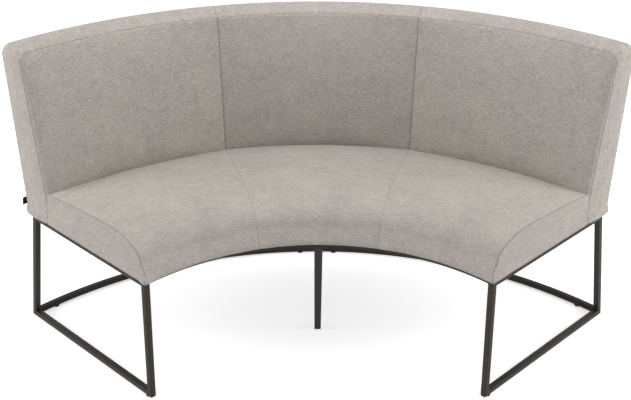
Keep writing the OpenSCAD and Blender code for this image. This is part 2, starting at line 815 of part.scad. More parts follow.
module back_top_rail() {
    color(plywood) placed() intersection() {
        swept(-half_angle, half_angle) polygon(slab(function (z) post_front(z),
            function (z) post_rear(z), post_high, back_head));
        between_ends(frame_in);
    }
}

// Raked post between the back frame's rails
module back_post(angle, shift) {
    color(plywood) placed() at_angle(angle) translate([0, shift, 0])
        upright(slab(function (z) post_front(z), function (z) post_rear(z), post_low, post_high),
            post_w);
}

module left_end_post() { back_post(-half_angle, -post_w / 2 - frame_in); }
module right_end_post() { back_post(half_angle, post_w / 2 + frame_in); }
module left_seam_post() { back_post(-seam_angle, 0); }
module right_seam_post() { back_post(seam_angle, 0); }

// Bent plywood board on the front of the posts and rails
module back_board(from_angle, to_angle) {
    color(plywood) placed() intersection() {
        swept(from_angle, to_angle) polygon(slab(function (z) board_r(z),
            function (z) post_front(z), back_floor, back_head));
        between_ends(frame_in);
    }
}

module left_back_board() { back_board(-half_angle, -seam_angle); }
module centre_back_board() { back_board(-seam_angle, seam_angle); }
module right_back_board() { back_board(seam_angle, half_angle); }

// Strip of foam on the back frame's top rail, under the band
module back_top_pad() {
    high = back_h - back_cover_t - joint_gap;
    color(foam_white) placed() intersection() {
        swept(-half_angle, half_angle) polygon(slab(function (z) board_r(z) + soft_gap,
            function (z) post_rear(z), back_head + soft_gap, high));
        between_ends(corner_r);
    }
}

// Blank tag folded into a loop, held in the seam at the left rear edge of the back
module side_tag() {
    leaf = tag_t / 4;
    color("#1d1c1b") placed() at_angle(-half_angle)
        translate([outer_r(tag_up) - tag_t * 1.5, soft_gap * 2, frame_top + tag_up])
        linear_extrude(height = tag_h) difference() {
            tag_outline(0);
            tag_outline(leaf);
        }
}

module tag_outline(inset) {
    translate([inset, inset]) square([tag_t - inset * 2, tag_l - inset]);
    translate([tag_t / 2, tag_l]) circle(d = tag_t - inset * 2);
}

front_rail();
rear_top_rail();
rear_floor_rail();
left_cross_rail();
right_cross_rail();
left_front_leg();
right_front_leg();
left_rear_leg();
right_rear_leg();
left_top_rail();
right_top_rail();
left_floor_runner();
right_floor_runner();
centre_leg();
centre_leg_cap();
floor_glides();
screw_tabs();
seat_screws();
back_bolts();
dust_cover();
seat_front_board();
seat_rear_board();
left_seat_end_board();
right_seat_end_board();
left_seat_cross_board();
right_seat_cross_board();
seat_webbing();
left_seat_foam();
centre_seat_foam();
right_seat_foam();
left_seat_cover();
centre_seat_cover();
right_seat_cover();
left_seat_end_panel();
right_seat_end_panel();
back_bottom_rail();
back_top_rail();
left_end_post();
right_end_post();
left_seam_post();
right_seam_post();
left_back_board();
centre_back_board();
right_back_board();
back_top_pad();
left_back_foam();
centre_back_foam();
right_back_foam();
left_back_cover();
centre_back_cover();
right_back_cover();
left_back_band();
centre_back_band();
right_back_band();
left_outer_back();
centre_outer_back();
right_outer_back();
side_tag();
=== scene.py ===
"""A curved upholstered banquette bench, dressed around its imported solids.

Plan angles are measured about the centre of the arc, which lies in front of the bench.
Radii run from that centre, and heights in a section run up from the top of the steel frame.
Every piece is in metres and stands where its solid stands.
"""

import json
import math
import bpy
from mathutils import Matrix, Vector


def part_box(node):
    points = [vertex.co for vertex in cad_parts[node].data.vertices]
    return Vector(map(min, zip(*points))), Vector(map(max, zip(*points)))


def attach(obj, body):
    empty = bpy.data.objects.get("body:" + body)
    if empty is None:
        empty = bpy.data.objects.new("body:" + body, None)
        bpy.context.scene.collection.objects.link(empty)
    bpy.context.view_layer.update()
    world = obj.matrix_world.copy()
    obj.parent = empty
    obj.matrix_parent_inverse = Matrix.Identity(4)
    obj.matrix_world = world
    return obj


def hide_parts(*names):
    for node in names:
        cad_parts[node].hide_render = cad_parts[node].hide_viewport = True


bl_info = {
    "name": "Curved banquette bench",
    "version": (1, 0, 0),
    "blender": (4, 5, 0),
    "location": "3D View > Sidebar > Bench",
    "description": "Builds a curved bench with a padded seat and back on a square tube frame",
    "category": "Object",
}

import bmesh
import bpy
import numpy as np
from bpy.props import FloatProperty, FloatVectorProperty, PointerProperty
from mathutils import Matrix, Vector

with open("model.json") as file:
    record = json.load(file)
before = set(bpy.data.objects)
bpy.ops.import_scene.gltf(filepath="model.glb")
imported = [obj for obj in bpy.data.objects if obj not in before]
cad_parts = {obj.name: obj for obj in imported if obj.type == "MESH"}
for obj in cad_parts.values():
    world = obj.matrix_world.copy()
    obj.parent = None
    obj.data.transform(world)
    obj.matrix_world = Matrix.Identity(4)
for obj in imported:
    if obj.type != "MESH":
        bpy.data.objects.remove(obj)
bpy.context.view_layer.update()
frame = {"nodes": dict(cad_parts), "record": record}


def length(name, description, default):
    return FloatProperty(
        name=name, description=description, default=default, min=0.0, precision=4, unit="LENGTH"
    )


def angle(name, description, default):
    return FloatProperty(
        name=name, description=description, default=math.radians(default), subtype="ANGLE"
    )


def share(name, description, default):
    return FloatProperty(name=name, description=description, default=default, min=0.0, max=1.0)


def amount(name, description, default, unit="NONE"):
    return FloatProperty(name=name, description=description, default=default, min=0.0, unit=unit)


def colour(name, description, default):
    return FloatVectorProperty(
        name=name, description=description, default=default, size=3, min=0.0, max=1.0,
        subtype="COLOR",
    )


class BenchSizes(bpy.types.PropertyGroup):
    """Sizes of the bench: those of its solids, and the crowns and rolls of its padding."""

    half_angle: angle("Half angle", "Half of the angle that the bench sweeps", 45.9)
    seam_share: share("Seam share", "Share of the sweep between two seams, a side", 0.3333)
    tube: length("Tube", "Width of the square tube", 0.018)
    tube_round: length("Tube corners", "Radius of the square tube's corners", 0.0024)
    front_head_r: length("Front radius", "Radius of the front legs at their heads", 0.6475)
    frame_depth: length("Frame depth", "From the front to the rear legs' heads", 0.5125)
    front_leg_lean: length("Front leg lean", "How far its foot stands back", 0.017)
    rear_leg_lean: length("Rear leg lean", "How far its foot stands back", 0.087)
    front_rail_back: length("Front rail", "Its distance behind the front legs", 0.0085)
    rear_rail_ahead: length("Rear rail", "Its distance ahead of the rear legs", 0.008)
    leg_head_w: length("Leg head", "Width of the centre leg at its head", 0.024)
    leg_foot_w: length("Leg foot", "Width of the centre leg at its foot", 0.020)
    leg_depth: length("Leg depth", "Depth of the centre leg", 0.018)
    leg_lean: length("Leg lean", "How far the centre leg's foot stands back", 0.139)
    leg_cap_h: length("Leg cap", "Height of the cap under the centre leg", 0.006)
    tongue_t: length("Tongue", "Thickness of the centre leg's tongue", 0.003)
    glide_d: length("Glide", "Diameter of the floor glides", 0.020)
    middle_glide_x: length("Middle glides", "Their distance from the middle", 0.058)
    outer_glide_in: length("Outer glides", "Their distance from the end frames", 0.072)
    runner_glide_back: length("Runner glides", "Their distance behind the front feet", 0.010)
    overhang: length("Overhang", "Seat edge ahead of the front rail", 0.0145)
    seat_h: length("Seat height", "Height of the seat's seams over the frame", 0.113)
    nose_h: length("Front height", "Height of the straight part of the front", 0.050)
    front_lean: length("Front lean", "How far the front leans back", 0.026)
    nose_depth: length("Front round", "Depth of the rounded front edge", 0.130)
    seat_fall: length("Seat fall", "Fall of the seat towards the back", 0.016)
    seat_rear_round: length("Rear round", "Radius of the seat's rear edge", 0.011)
    seat_crown: length("Seat crown", "Crown of a seat panel", 0.010)
    back_ahead: length("Back ahead", "Back's face ahead of the rear top rail", 0.063)
    back_h: length("Back height", "Height of the back's front seam over the frame", 0.507)
    crease_h: length("Crease height", "Height of the crease over the frame", 0.090)
    back_lean: length("Back lean", "How far the face leans back", 0.048)
    back_foot_depth: length("Back foot", "Depth of the back at its foot", 0.116)
    back_top_depth: length("Back top", "Depth of the back at its top", 0.093)
    top_rise: length("Top rise", "Rise of the top towards the rear", 0.005)
    back_crown: length("Back crown", "Crown of a back panel", 0.016)
    crease_bulge: length("Crease bulge", "How far an end panel's back bulges at the crease", 0.011)
    end_roll: length("End roll", "How far the padding rolls back at the back's ends", 0.012)
    end_roll_w: length("End roll width", "Width of that roll", 0.040)
    band_crown: length("Band crown", "Crown of the band along the top", 0.012)
    end_crown: length("End crown", "Crown of the cloth on the ends", 0.005)
    outer_crown: length("Outer crown", "Crown of the outer back", 0.003)
    corner_r: length("Corner", "Radius of the back's upper corners", 0.028)
    seat_base: length("Seat base", "Top of the webbing over the frame", 0.0213)
    board_foot: length("Board foot", "Board behind the back's face at its foot", 0.042)
    board_top: length("Board top", "Board behind the back's face at its top", 0.032)


class Sewing(bpy.types.PropertyGroup):
    """How the covers are sewn and filled."""

    cover_t: length("Cover", "Thickness of the cloth with its wadding", 0.0032)
    end_out: length("End out", "How far the cloth on the ends stands out low down", 0.0030)
    hem_out: length("Hem out", "How far its hem stands out over the tube", 0.0095)
    hem_h: length("Hem height", "Height over the frame at which the hem starts", 0.022)
    end_hem: length("End hem", "How far the cloth on the ends hangs over the tube", 0.0035)
    front_hem: length("Front hem", "How far the front hangs over the rail", 0.0035)
    left_sag: length("Left sag", "How much lower the front hangs at the left end", 0.0050)
    right_sag: length("Right sag", "How much lower the front hangs at the right end", 0.0)
    squeeze: length("Squeeze", "Reach of the seat's end cloth into the band at its foot", 0.005)
    seam_depth: length("Seam depth", "How deep a seam draws the cloth in", 0.0024)
    seat_seam: share("Seat seams", "Depth of the seams across the seat beside the others", 0.35)
    seam_width: length("Seam width", "How wide a seam draws the cloth in", 0.0065)
    edge: length("Edge", "How far an edge seam lies in from the corner", 0.0022)
    step: length("Mesh step", "Distance between two rows of the covers' mesh", 0.009)
    puff: length("Puff", "Most that the filling lifts the cloth", 0.004)
    pressure: amount("Pressure", "Pressure of the filling", 4.0)
    pucker: length("Pucker", "Height of the puckers beside a seam", 0.0008)
    unevenness: length("Unevenness", "Height of the filling's unevenness", 0.0011)
    stitch_pitch: length("Stitch pitch", "Distance between two stitches", 0.0062)
    stitch_l: length("Stitch length", "Length of a stitch that shows", 0.0042)
    stitch_t: length("Thread", "Thickness of the thread", 0.0011)


class Looks(bpy.types.PropertyGroup):
    """Colours of the finishes, and how strongly the cloth's threads differ."""

    cloth: colour("Cloth", "Main colour of the cloth", (0.455, 0.418, 0.382))
    slub_light: colour("Light slubs", "Colour of its light threads", (0.70, 0.665, 0.625))
    slub_dark: colour("Dark slubs", "Colour of its dark threads", (0.238, 0.200, 0.168))
    seat_contrast: share("Seat contrast", "How strongly the slubs show on the seat", 0.65)
    back_contrast: share("Back contrast", "How strongly the slubs show on the back", 0.9)
    thread: colour("Thread", "Colour of the sewing thread", (0.19, 0.165, 0.14))
    metal: colour("Metal", "Colour of the frame's powder coat", (0.034, 0.026, 0.019))
    plastic: colour("Plastic", "Colour of the glides and the cap", (0.014, 0.0135, 0.013))
    zinc: colour("Zinc", "Colour of the screws and bolts", (0.42, 0.43, 0.45))
    timber: colour("Timber", "Colour of the boards and posts", (0.58, 0.40, 0.21))
    timber_dark: colour("Grain", "Colour of the boards' grain", (0.36, 0.21, 0.09))
    webbing: colour("Webbing", "Colour of the straps", (0.075, 0.062, 0.047))
    foam: colour("Foam", "Colour of the foam", (0.80, 0.75, 0.60))
    dust: colour("Dust cover", "Colour of the cloth under the seat", (0.022, 0.021, 0.020))
    tag: colour("Tag", "Colour of the blank tag", (0.011, 0.010, 0.010))


class Studio(bpy.types.PropertyGroup):
    """Floor, lights and camera."""

    floor: colour("Floor", "Colour of the floor", (0.92, 0.92, 0.92))
    backdrop: colour("Backdrop", "What the floor adds for the camera", (0.60, 0.60, 0.60))
    sky: amount("Sky", "Strength of the light from all around", 0.37)
    top_light: amount("Top light", "Power of the light overhead", 37.0, "POWER")
    left_light: amount("Left light", "Power of the light at the left", 58.0, "POWER")
    right_light: amount("Right light", "Power of the light at the right", 63.0, "POWER")
    lens: amount("Lens", "Focal length in millimetres", 61.04, "CAMERA")
    place: FloatVectorProperty(
        name="Camera", description="Place of the camera", default=(-0.027, -2.7899, 1.9893),
        subtype="TRANSLATION", unit="LENGTH",
    )
    pitch: angle("Pitch", "Angle of the camera below the horizon", 29.2)
    yaw: angle("Yaw", "Angle of the camera to the right", 0.4)
    roll: angle("Roll", "Angle of the camera about its axis", 0.2)


class Wire:
    """An output socket of a node. Arithmetic on it adds Math nodes to its tree."""

    def __init__(self, tree, socket):
        self.tree = tree
        self.socket = socket

    def math(self, operation, *values):
        return add(self.tree, "ShaderNodeMath", {"operation": operation}, dict(enumerate(values)))

    def __add__(self, other):
        return self.math("ADD", self, other)

    __radd__ = __add__

    def __sub__(self, other):
        return self.math("SUBTRACT", self, other)

    def __rsub__(self, other):
        return self.math("SUBTRACT", other, self)

    def __mul__(self, other):
        return self.math("MULTIPLY", self, other)

    __rmul__ = __mul__

    def other(self, name):
        """Another output of the same node."""
        return Wire(self.tree, self.socket.node.outputs[name])

    def ramp(self, low, high):
        """0 below low, 1 above high, and smooth between them."""
        return add(
            self.tree, "ShaderNodeMapRange", {"interpolation_type": "SMOOTHSTEP"},
            {"Value": self, "From Min": low, "From Max": high},
        )


def add(tree, kind, settings=None, inputs=None, output=0):
    """Adds a node: its type, its settings first, then its sockets' values or links."""
    node = tree.nodes.new(kind)
    for key, value in (settings or {}).items():
        setattr(node, key, value)
    for key, value in (inputs or {}).items():
        if isinstance(value, Wire):
            tree.links.new(value.socket, node.inputs[key])
        else:
            node.inputs[key].default_value = value
    return Wire(tree, node.outputs[output]) if node.outputs else node


def blend(tree, factor, first, second):
    """Mixes two colours."""
    return add(
        tree, "ShaderNodeMix", {"data_type": "RGBA"}, {0: factor, 6: first, 7: second}, 2
    )


def shader(name, constants, build):
    """A material whose build function returns what feeds the shader's sockets."""
    material = bpy.data.materials.new(name)
    material.use_nodes = True
    tree = material.node_tree
    principled = tree.nodes["Principled BSDF"]
    for key, value in constants.items():
        principled.inputs[key].default_value = value
    for key, wire in build(tree).items():
        tree.links.new(wire.socket, principled.inputs[key])
    return material


def solid(rgb, factor=1.0):
    """A colour socket's value, darker or paler than a colour by a factor."""
    return (*(min(1.0, c * factor) for c in rgb), 1.0)


def noise(tree, place, features, detail, roughness=0.5):
    """Noise with so many features in a metre: one number, or one for each of two or three axes."""
    if not isinstance(features, tuple):
        features = (features, features, features)
    scaled = add(
        tree, "ShaderNodeVectorMath", {"operation": "MULTIPLY"},
        {0: place, 1: (*features, 1.0)[:3]},
    )
    return add(
        tree, "ShaderNodeTexNoise", {"noise_dimensions": f"{len(features)}D"},
        {"Vector": scaled, "Scale": 1.0, "Detail": detail, "Roughness": roughness},
    )


def bump(tree, height, distance, strength):
    return add(
        tree, "ShaderNodeBump", None,
        {"Height": height, "Distance": distance, "Strength": strength},
    )


def object_place(tree):
    return add(tree, "ShaderNodeTexCoord", output="Object")


def upholstery(name, contrast, main, light, dark):
    """Plain woven cloth with slubs. Its coordinates are metres along and across the threads."""
    pitch_along, pitch_across = 0.0015, 0.0013

    def build(tree):
        place = add(tree, "ShaderNodeUVMap", {"uv_map": "weave"})
        along = add(tree, "ShaderNodeSeparateXYZ", None, {0: place})
        across = along.other("Y")
        weft = noise(tree, place, (72, 540), 1.0, 0.5)
        slub = noise(tree, place, (30, 380), 1.0, 0.5)
        warp = noise(tree, place, (480, 60), 1.0, 0.5)
        heather = noise(tree, place, (130, 210), 2.0, 0.6)
        speckle = noise(tree, place, (300, 540), 1.0, 0.6)
        fibre = noise(tree, place, (1500, 1700), 0.0, 0.5)
        patch = noise(tree, place, (9, 13), 2.0, 0.5)
        cloud = noise(tree, place, (30, 46), 1.0, 0.5)
        pale = weft.ramp(0.52, 0.76) * (0.46 * contrast) + warp.ramp(0.56, 0.80) * 0.14
        deep = weft.ramp(0.48, 0.24) * (0.48 * contrast) + warp.ramp(0.44, 0.20) * 0.16
        tone = blend(tree, pale, solid(main), solid(light))
        tone = blend(tree, deep, tone, solid(dark))
        for web, strength in ((speckle, 0.52), (heather, 0.20), (slub, 0.15)):
            part = strength * contrast
            tone = blend(tree, web.ramp(0.50, 0.78) * part, tone, solid(light))
            tone = blend(tree, web.ramp(0.50, 0.22) * part, tone, solid(dark))
        value = 0.78 + patch * 0.18 + cloud * 0.18 + fibre * 0.08
        tone = add(
            tree, "ShaderNodeHueSaturation", None,
            {"Hue": 0.5, "Saturation": 1.0, "Value": value, "Fac": 1.0, "Color": tone},
        )
        over = along.math("SINE", along * (2 * math.pi / pitch_along))
        under = across.math("SINE", across * (2 * math.pi / pitch_across))
        height = over * under * 0.35 + weft * 0.45 + warp * 0.2 + speckle * 0.2 + fibre * 0.2
        rough = 0.84 + speckle * 0.12
        return {
            "Base Color": tone, "Roughness": rough, "Normal": bump(tree, height, 0.0004, 0.5)
        }

    return shader(
        name,
        {
            "Sheen Weight": 0.12, "Sheen Roughness": 0.45, "Sheen Tint": solid(light),
            "Specular IOR Level": 0.25,
        },
        build,
    )


def coated_metal(name, tone):
    """Satin powder coat over steel tube, with a fine grain and faint handling marks."""

    def build(tree):
        place = object_place(tree)
        grain = noise(tree, place, 900, 1.0)
        cloud = noise(tree, place, 26, 4.0, 0.6)
        rub = noise(tree, place, (70, 70, 220), 5.0, 0.7)
        shade = blend(tree, cloud.ramp(0.35, 0.7), solid(tone, 0.72), solid(tone))
        shade = blend(tree, rub.ramp(0.58, 0.78) * 0.55, shade, solid(tone, 1.75))
        rough = 0.44 + cloud * 0.16 + grain * 0.10
        return {
            "Base Color": shade, "Roughness": rough,
            "Normal": bump(tree, grain + cloud * 0.4, 0.00012, 0.6),
        }

    return shader(name, {"Specular IOR Level": 0.22}, build)


def moulded(name, tone):
    """Matt moulded plastic with a fine spark grain."""

    def build(tree):
        place = object_place(tree)
        grain = noise(tree, place, 1400, 1.0)
        cloud = noise(tree, place, 60, 3.0)
        return {
            "Base Color": blend(tree, cloud.ramp(0.4, 0.75) * 0.6, solid(tone), solid(tone, 2.2)),
            "Roughness": 0.52 + grain * 0.16,
            "Normal": bump(tree, grain, 0.00015, 0.5),
        }

    return shader(name, {"Specular IOR Level": 0.45}, build)


def zinc_plate(name, tone):
    """Bright zinc plating with a cloudy bloom."""

    def build(tree):
        place = object_place(tree)
        bloom = noise(tree, place, 240, 4.0, 0.65)
        return {
            "Base Color": blend(tree, bloom.ramp(0.35, 0.7), solid(tone, 0.6), solid(tone)),
            "Roughness": 0.28 + bloom * 0.24,
        }

    return shader(name, {"Metallic": 1.0}, build)


def plywood(name, tone, grain_tone):
    """Sanded plywood: long grain, fine pores and the layers on its edges."""
    two_plies = 0.0030

    def build(tree):
        place = object_place(tree)
        grain = noise(tree, place, (9, 120, 60), 5.0, 0.6)
        pores = noise(tree, place, (60, 1300, 700), 2.0, 0.6)
        height = add(tree, "ShaderNodeSeparateXYZ", None, {0: place}).other("Z")
        layer = height.math("SINE", height * (2 * math.pi / two_plies)).ramp(0.1, 0.7)
        shade = blend(tree, grain.ramp(0.40, 0.68) * 0.75, solid(tone), solid(grain_tone))
        shade = blend(tree, pores.ramp(0.62, 0.8) * 0.5, shade, solid(grain_tone))
        shade = blend(tree, layer * 0.20, shade, solid(grain_tone))
        return {
            "Base Color": shade, "Roughness": 0.55 + grain * 0.2,
            "Normal": bump(tree, grain + pores, 0.0002, 0.5),
        }

    return shader(name, {}, build)


def plain_weave(name, tone, pitch, weight):
    """Plain cloth of one colour, such as webbing, thin lining cloth or tape."""

    def build(tree):
        place = object_place(tree)
        x = add(tree, "ShaderNodeSeparateXYZ", None, {0: place})
        y = x.other("Y")
        turn = 2 * math.pi / pitch
        weave = x.math("SINE", x * turn) * y.math("SINE", y * turn)
        lint = noise(tree, place, 500, 2.0)
        return {
            "Base Color": blend(tree, lint.ramp(0.45, 0.8) * 0.6, solid(tone), solid(tone, 1.9)),
            "Roughness": 0.82 + lint * 0.14,
            "Normal": bump(tree, weave + lint * 1.5, pitch * weight, 0.6),
        }

    return shader(name, {"Sheen Weight": 0.08, "Specular IOR Level": 0.25}, build)


def open_foam(name, tone):
    """Open-cell foam, a little yellower where it is old."""

    def build(tree):
        place = object_place(tree)
        cells = add(
            tree, "ShaderNodeTexVoronoi", {"feature": "DISTANCE_TO_EDGE"},
            {"Vector": place, "Scale": 900.0},
        )
        age = noise(tree, place, 8, 3.0)
        yellow = (tone[0], tone[1] * 0.86, tone[2] * 0.62)
        return {
            "Base Color": blend(tree, age.ramp(0.4, 0.75) * 0.5, solid(tone), solid(yellow)),
            "Roughness": 0.86 + age * 0.1,
            "Normal": bump(tree, cells, 0.0008, 0.7),
        }

    return shader(name, {"Specular IOR Level": 0.2}, build)


def sewing_thread(name, tone):
    """Twisted thread."""

    def build(tree):
        place = object_place(tree)
        twist = noise(tree, place, 1200, 1.0)
        return {
            "Base Color": blend(tree, twist.ramp(0.3, 0.7), solid(tone), solid(tone, 1.4)),
            "Roughness": 0.6 + twist * 0.2,
        }

    return shader(name, {"Sheen Weight": 0.1}, build)


FINISHES = {}


def finish(slot):
    """The material of one of the record's slots, made when it is first asked for."""
    if not FINISHES:
        looks = bpy.context.scene.bench_looks
        cloth = (looks.cloth, looks.slub_light, looks.slub_dark)
        FINISHES.update(
            frame_metal=coated_metal("frame_metal", looks.metal),
            glide_plastic=moulded("glide_plastic", looks.plastic),
            zinc_steel=zinc_plate("zinc_steel", looks.zinc),
            dust_cloth=plain_weave("dust_cloth", looks.dust, 0.0011, 0.2),
            plywood=plywood("plywood", looks.timber, looks.timber_dark),
            webbing=plain_weave("webbing", looks.webbing, 0.0028, 0.3),
            foam=open_foam("foam", looks.foam),
            seat_fabric=upholstery("seat_fabric", looks.seat_contrast, *cloth),
            back_fabric=upholstery("back_fabric", looks.back_contrast, *cloth),
            tag_cloth=plain_weave("tag_cloth", looks.tag, 0.0009, 0.25),
            thread=sewing_thread("thread", looks.thread),
        )
    return FINISHES[slot]


GAP = 0.0003  # between two panels at a seam
TOUCH = 0.001  # from the back's face to the seat's rear
FOAM_IN = 0.0006  # from the bottom of a groove to the foam
STITCH_OUT = 0.0006  # from the bottom of a groove to the thread's middle
MIRROR = np.array([-1.0, 1.0, 1.0])


class Plan:
    """Places that follow from the bench's sizes."""

    def __init__(self):
        scene = bpy.context.scene
        size = self.size = scene.bench_sizes
        self.sewing = scene.bench_sewing
        self.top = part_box("left_top_rail")[1].z
        self.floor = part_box("rear_floor_rail")[0].z
        self.half = size.half_angle
        self.seam = size.half_angle * size.seam_share
        self.front_foot_r = size.front_head_r + size.front_leg_lean
        self.rear_head_r = size.front_head_r + size.frame_depth
        self.rear_foot_r = self.rear_head_r + size.rear_leg_lean
        self.arc_back = self.rear_foot_r + size.tube / 2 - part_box("rear_floor_rail")[1].y
        self.front_rail_r = size.front_head_r + size.front_rail_back
        self.rear_rail_r = self.rear_head_r - size.rear_rail_ahead
        self.seat_front_r = self.front_rail_r - size.tube / 2 - size.overhang
        self.back_front_r = self.rear_rail_r - size.back_ahead
        self.seat_rear_r = self.back_front_r - TOUCH
        self.back_rear_r = self.back_front_r + size.back_foot_depth
        self.foam_in = self.sewing.cover_t + self.sewing.seam_depth + FOAM_IN

    def polar(self, r, plan_angle, up):
        """Points at radii, plan angles and heights over the steel frame."""
        r, plan_angle, up = np.broadcast_arrays(r, plan_angle, up)
        return np.stack(
            [r * np.sin(plan_angle), r * np.cos(plan_angle) - self.arc_back, self.top + up], -1
        )

    def in_from_end(self, r, distance):
        """Plan angle at a straight distance in from the plane of the left end."""
        return np.arcsin(distance / r) - self.half

    def in_from_cloth(self, r, distance, z):
        """The same, from the cloth on the left end. Low down it stands out over the tube."""
        sewing = self.sewing
        out = sewing.end_out * np.clip(1 - z / self.size.back_h, 0, 1)
        low = np.clip(1 - z / sewing.hem_h, 0, 1)
        lip = low * low * (3 - 2 * low)
        return self.in_from_end(r, distance - out - (sewing.hem_out - out) * lip)

    def hang(self, plan_angle, right):
        """How far the front's cloth hangs over the rail, also where it is made mirrored."""
        sewing = self.sewing
        sag = np.where((plan_angle > 0) == right, sewing.left_sag, sewing.right_sag)
        return sewing.front_hem + sag * (np.abs(plan_angle) / self.half) ** 1.5

    def face_r(self, z):
        """Front face of the back."""
        size = self.size
        rise = np.maximum(0, z - size.crease_h) / (size.back_h - size.crease_h)
        return self.back_front_r + size.back_lean * rise

    def outer_r(self, z):
        """Rear face of the back."""
        size = self.size
        high = self.back_front_r + size.back_lean + size.back_top_depth
        return self.back_rear_r + (high - self.back_rear_r) * z / size.back_h

    def board_r(self, z):
        """Front of the boards in the back."""
        size = self.size
        low = self.back_front_r + size.board_foot
        high = self.back_front_r + size.back_lean + size.board_top
        return low + (high - low) * z / size.back_h

    def seat_section(self):
        """The seat's section from its turned-in front edge over the top and down the rear.

        Returns columns of radius, height and swell. The swell goes by stations: 0 at the foot
        of the front, 2 where its rounding starts, 6 where the top starts, 10 where the rear
        edge's rounding starts and 12 below it.
        """
        size = self.size
        turn_in = 0.003
        front = self.seat_front_r
        slope = size.front_lean / (size.nose_h - GAP)
        centre_r = front + slope * turn_in + turn_in
        top_r = front + size.front_lean + size.nose_depth
        rear_top = size.seat_h - size.seat_fall
        rows = []

        def put(r, z, row):
            rise = np.sin(np.pi / 2 * np.clip((row + 0.4) / 7.4, 0, 1)) ** 1.2
            fade = rise * (1 - np.clip((row - 7.5) / 2.5, 0, 1) ** 4)
            rows.append(np.stack(np.broadcast_arrays(r, z, fade), -1))

        t = np.linspace(0, math.pi / 2, 10, endpoint=False)
        put(centre_r - turn_in * np.sin(t), GAP + turn_in * (1 - np.cos(t)), t * 0)
        rows[-1][:, 2] *= np.sin(t) ** 2
        t = np.linspace(turn_in, size.nose_h - GAP, 24, endpoint=False)
        put(front + slope * t, GAP + t, 2 * t / (size.nose_h - GAP))
        t = np.linspace(0, math.pi / 2, 120, endpoint=False)
        put(
            front + size.front_lean + size.nose_depth * (1 - np.cos(t)),
            size.nose_h + (size.seat_h - size.nose_h) * np.sin(t), 2 + 4 * t / (math.pi / 2),
        )
        t = np.linspace(0, 1, 120, endpoint=False)
        reach = self.seat_rear_r - size.seat_rear_round - top_r
        put(top_r + reach * t, size.seat_h - size.seat_fall * t**1.5, 6 + 4 * t)
        t = np.linspace(0, math.pi / 2, 30, endpoint=False)
        put(
            self.seat_rear_r - size.seat_rear_round * (1 - np.sin(t)),
            rear_top - size.seat_rear_round * (1 - np.cos(t)), 10 + t,
        )
        t = np.linspace(0, 1, 20)
        low = rear_top - size.seat_rear_round
        put(self.seat_rear_r, low + (size.seat_base - low) * t, 12 + t)
        return np.concatenate(rows)


# Where the rows beside a sewn edge lie.
EDGE_STEPS = np.array([0, 0.3, 0.8, 1.6, 2.6, 3.8, 5.2, 6.8, 8.6, 11, 14.5]) / 1000


def stations(total, step, low=True, high=True):
    """Distances along a panel, close together beside its sewn edges."""
    first = EDGE_STEPS if low else EDGE_STEPS[:1]
    last = total - (EDGE_STEPS if high else EDGE_STEPS[:1])[::-1]
    count = max(1, round((last[0] - first[-1]) / step))
    return np.concatenate([first, np.linspace(first[-1], last[0], count + 1)[1:-1], last])


def run_of(points):
    """Distance along a line of points."""
    return np.concatenate([[0], np.cumsum(np.linalg.norm(np.diff(points, axis=0), axis=1))])


def normals(grid):
    """Outward directions of a grid whose rows lead up and whose columns lead to the right."""
    out = np.cross(np.gradient(grid, axis=1), np.gradient(grid, axis=0))
    return out / np.maximum(np.linalg.norm(out, axis=-1, keepdims=True), 1e-12)


def mirrored(grid):
    """A grid's twin at the other end of the bench, with its columns led to the right again."""
    return grid[:, ::-1] * MIRROR[:grid.shape[-1]]


def swell(at):
    """One in a panel's middle and nothing at its seams."""
    return 1 - np.abs(2 * at - 1) ** 3


def waves(at, waves_mm, seed):
    """Uneven ripple made of a few waves, from -1 to 1."""
    turn = np.random.default_rng(seed).uniform(0, 2 * math.pi, len(waves_mm))
    parts = [np.sin(2000 * math.pi * at / w + t) for w, t in zip(waves_mm, turn)]
    return sum(parts) / len(parts)


FILLING_FRAMES = 20


def inflate(grids, limit, pressure):
    """Lets the filling lift each grid like cloth held at its edges. Returns the lifts."""
    scene = bpy.context.scene
    made = []
    for grid in grids:
        rows, cols = grid.shape[:2]
        index = np.arange(rows * cols).reshape(rows, cols)
        faces = np.stack(
            [index[:-1, :-1], index[:-1, 1:], index[1:, 1:], index[1:, :-1]], -1
        ).reshape(-1, 4)
        mesh = bpy.data.meshes.new("filling")
        mesh.from_pydata(grid.reshape(-1, 3).tolist(), [], faces.tolist())
        obj = bpy.data.objects.new("filling", mesh)
        scene.collection.objects.link(obj)
        held = np.concatenate([index[0], index[-1], index[:, 0], index[:, -1]])
        obj.vertex_groups.new(name="held").add(sorted(set(held.tolist())), 1.0, "REPLACE")
        cloth = obj.modifiers.new("cloth", "CLOTH")
        cloth.point_cache.frame_start = 1
        cloth.point_cache.frame_end = FILLING_FRAMES
        settings = cloth.settings
        settings.quality = 6
        settings.mass = 0.25
        settings.tension_stiffness = 20
        settings.compression_stiffness = 12
        settings.shear_stiffness = 8
        settings.bending_stiffness = 1.2
        settings.air_damping = 2
        settings.use_pressure = True
        settings.uniform_pressure_force = pressure
        settings.vertex_group_mass = "held"
        settings.effector_weights.gravity = 0
        made.append(obj)
    for step in range(FILLING_FRAMES):
        scene.frame_set(step + 1)
    graph = bpy.context.evaluated_depsgraph_get()
    lifts = []
    for obj, grid in zip(made, grids):
        moved = np.empty(grid.size, np.float32)
        obj.evaluated_get(graph).data.vertices.foreach_get("co", moved)
        lift = ((moved.reshape(grid.shape) - grid) * normals(grid)).sum(-1)
        lift = np.clip(lift, 0, None)
        lifts.append(lift * min(1.0, limit / max(float(lift.max()), 1e-9)))
    for obj in made:
        mesh = obj.data
        bpy.data.objects.remove(obj)
        bpy.data.meshes.remove(mesh)
    scene.frame_set(1)
    return lifts


LIFT_GRID = (36, 44)


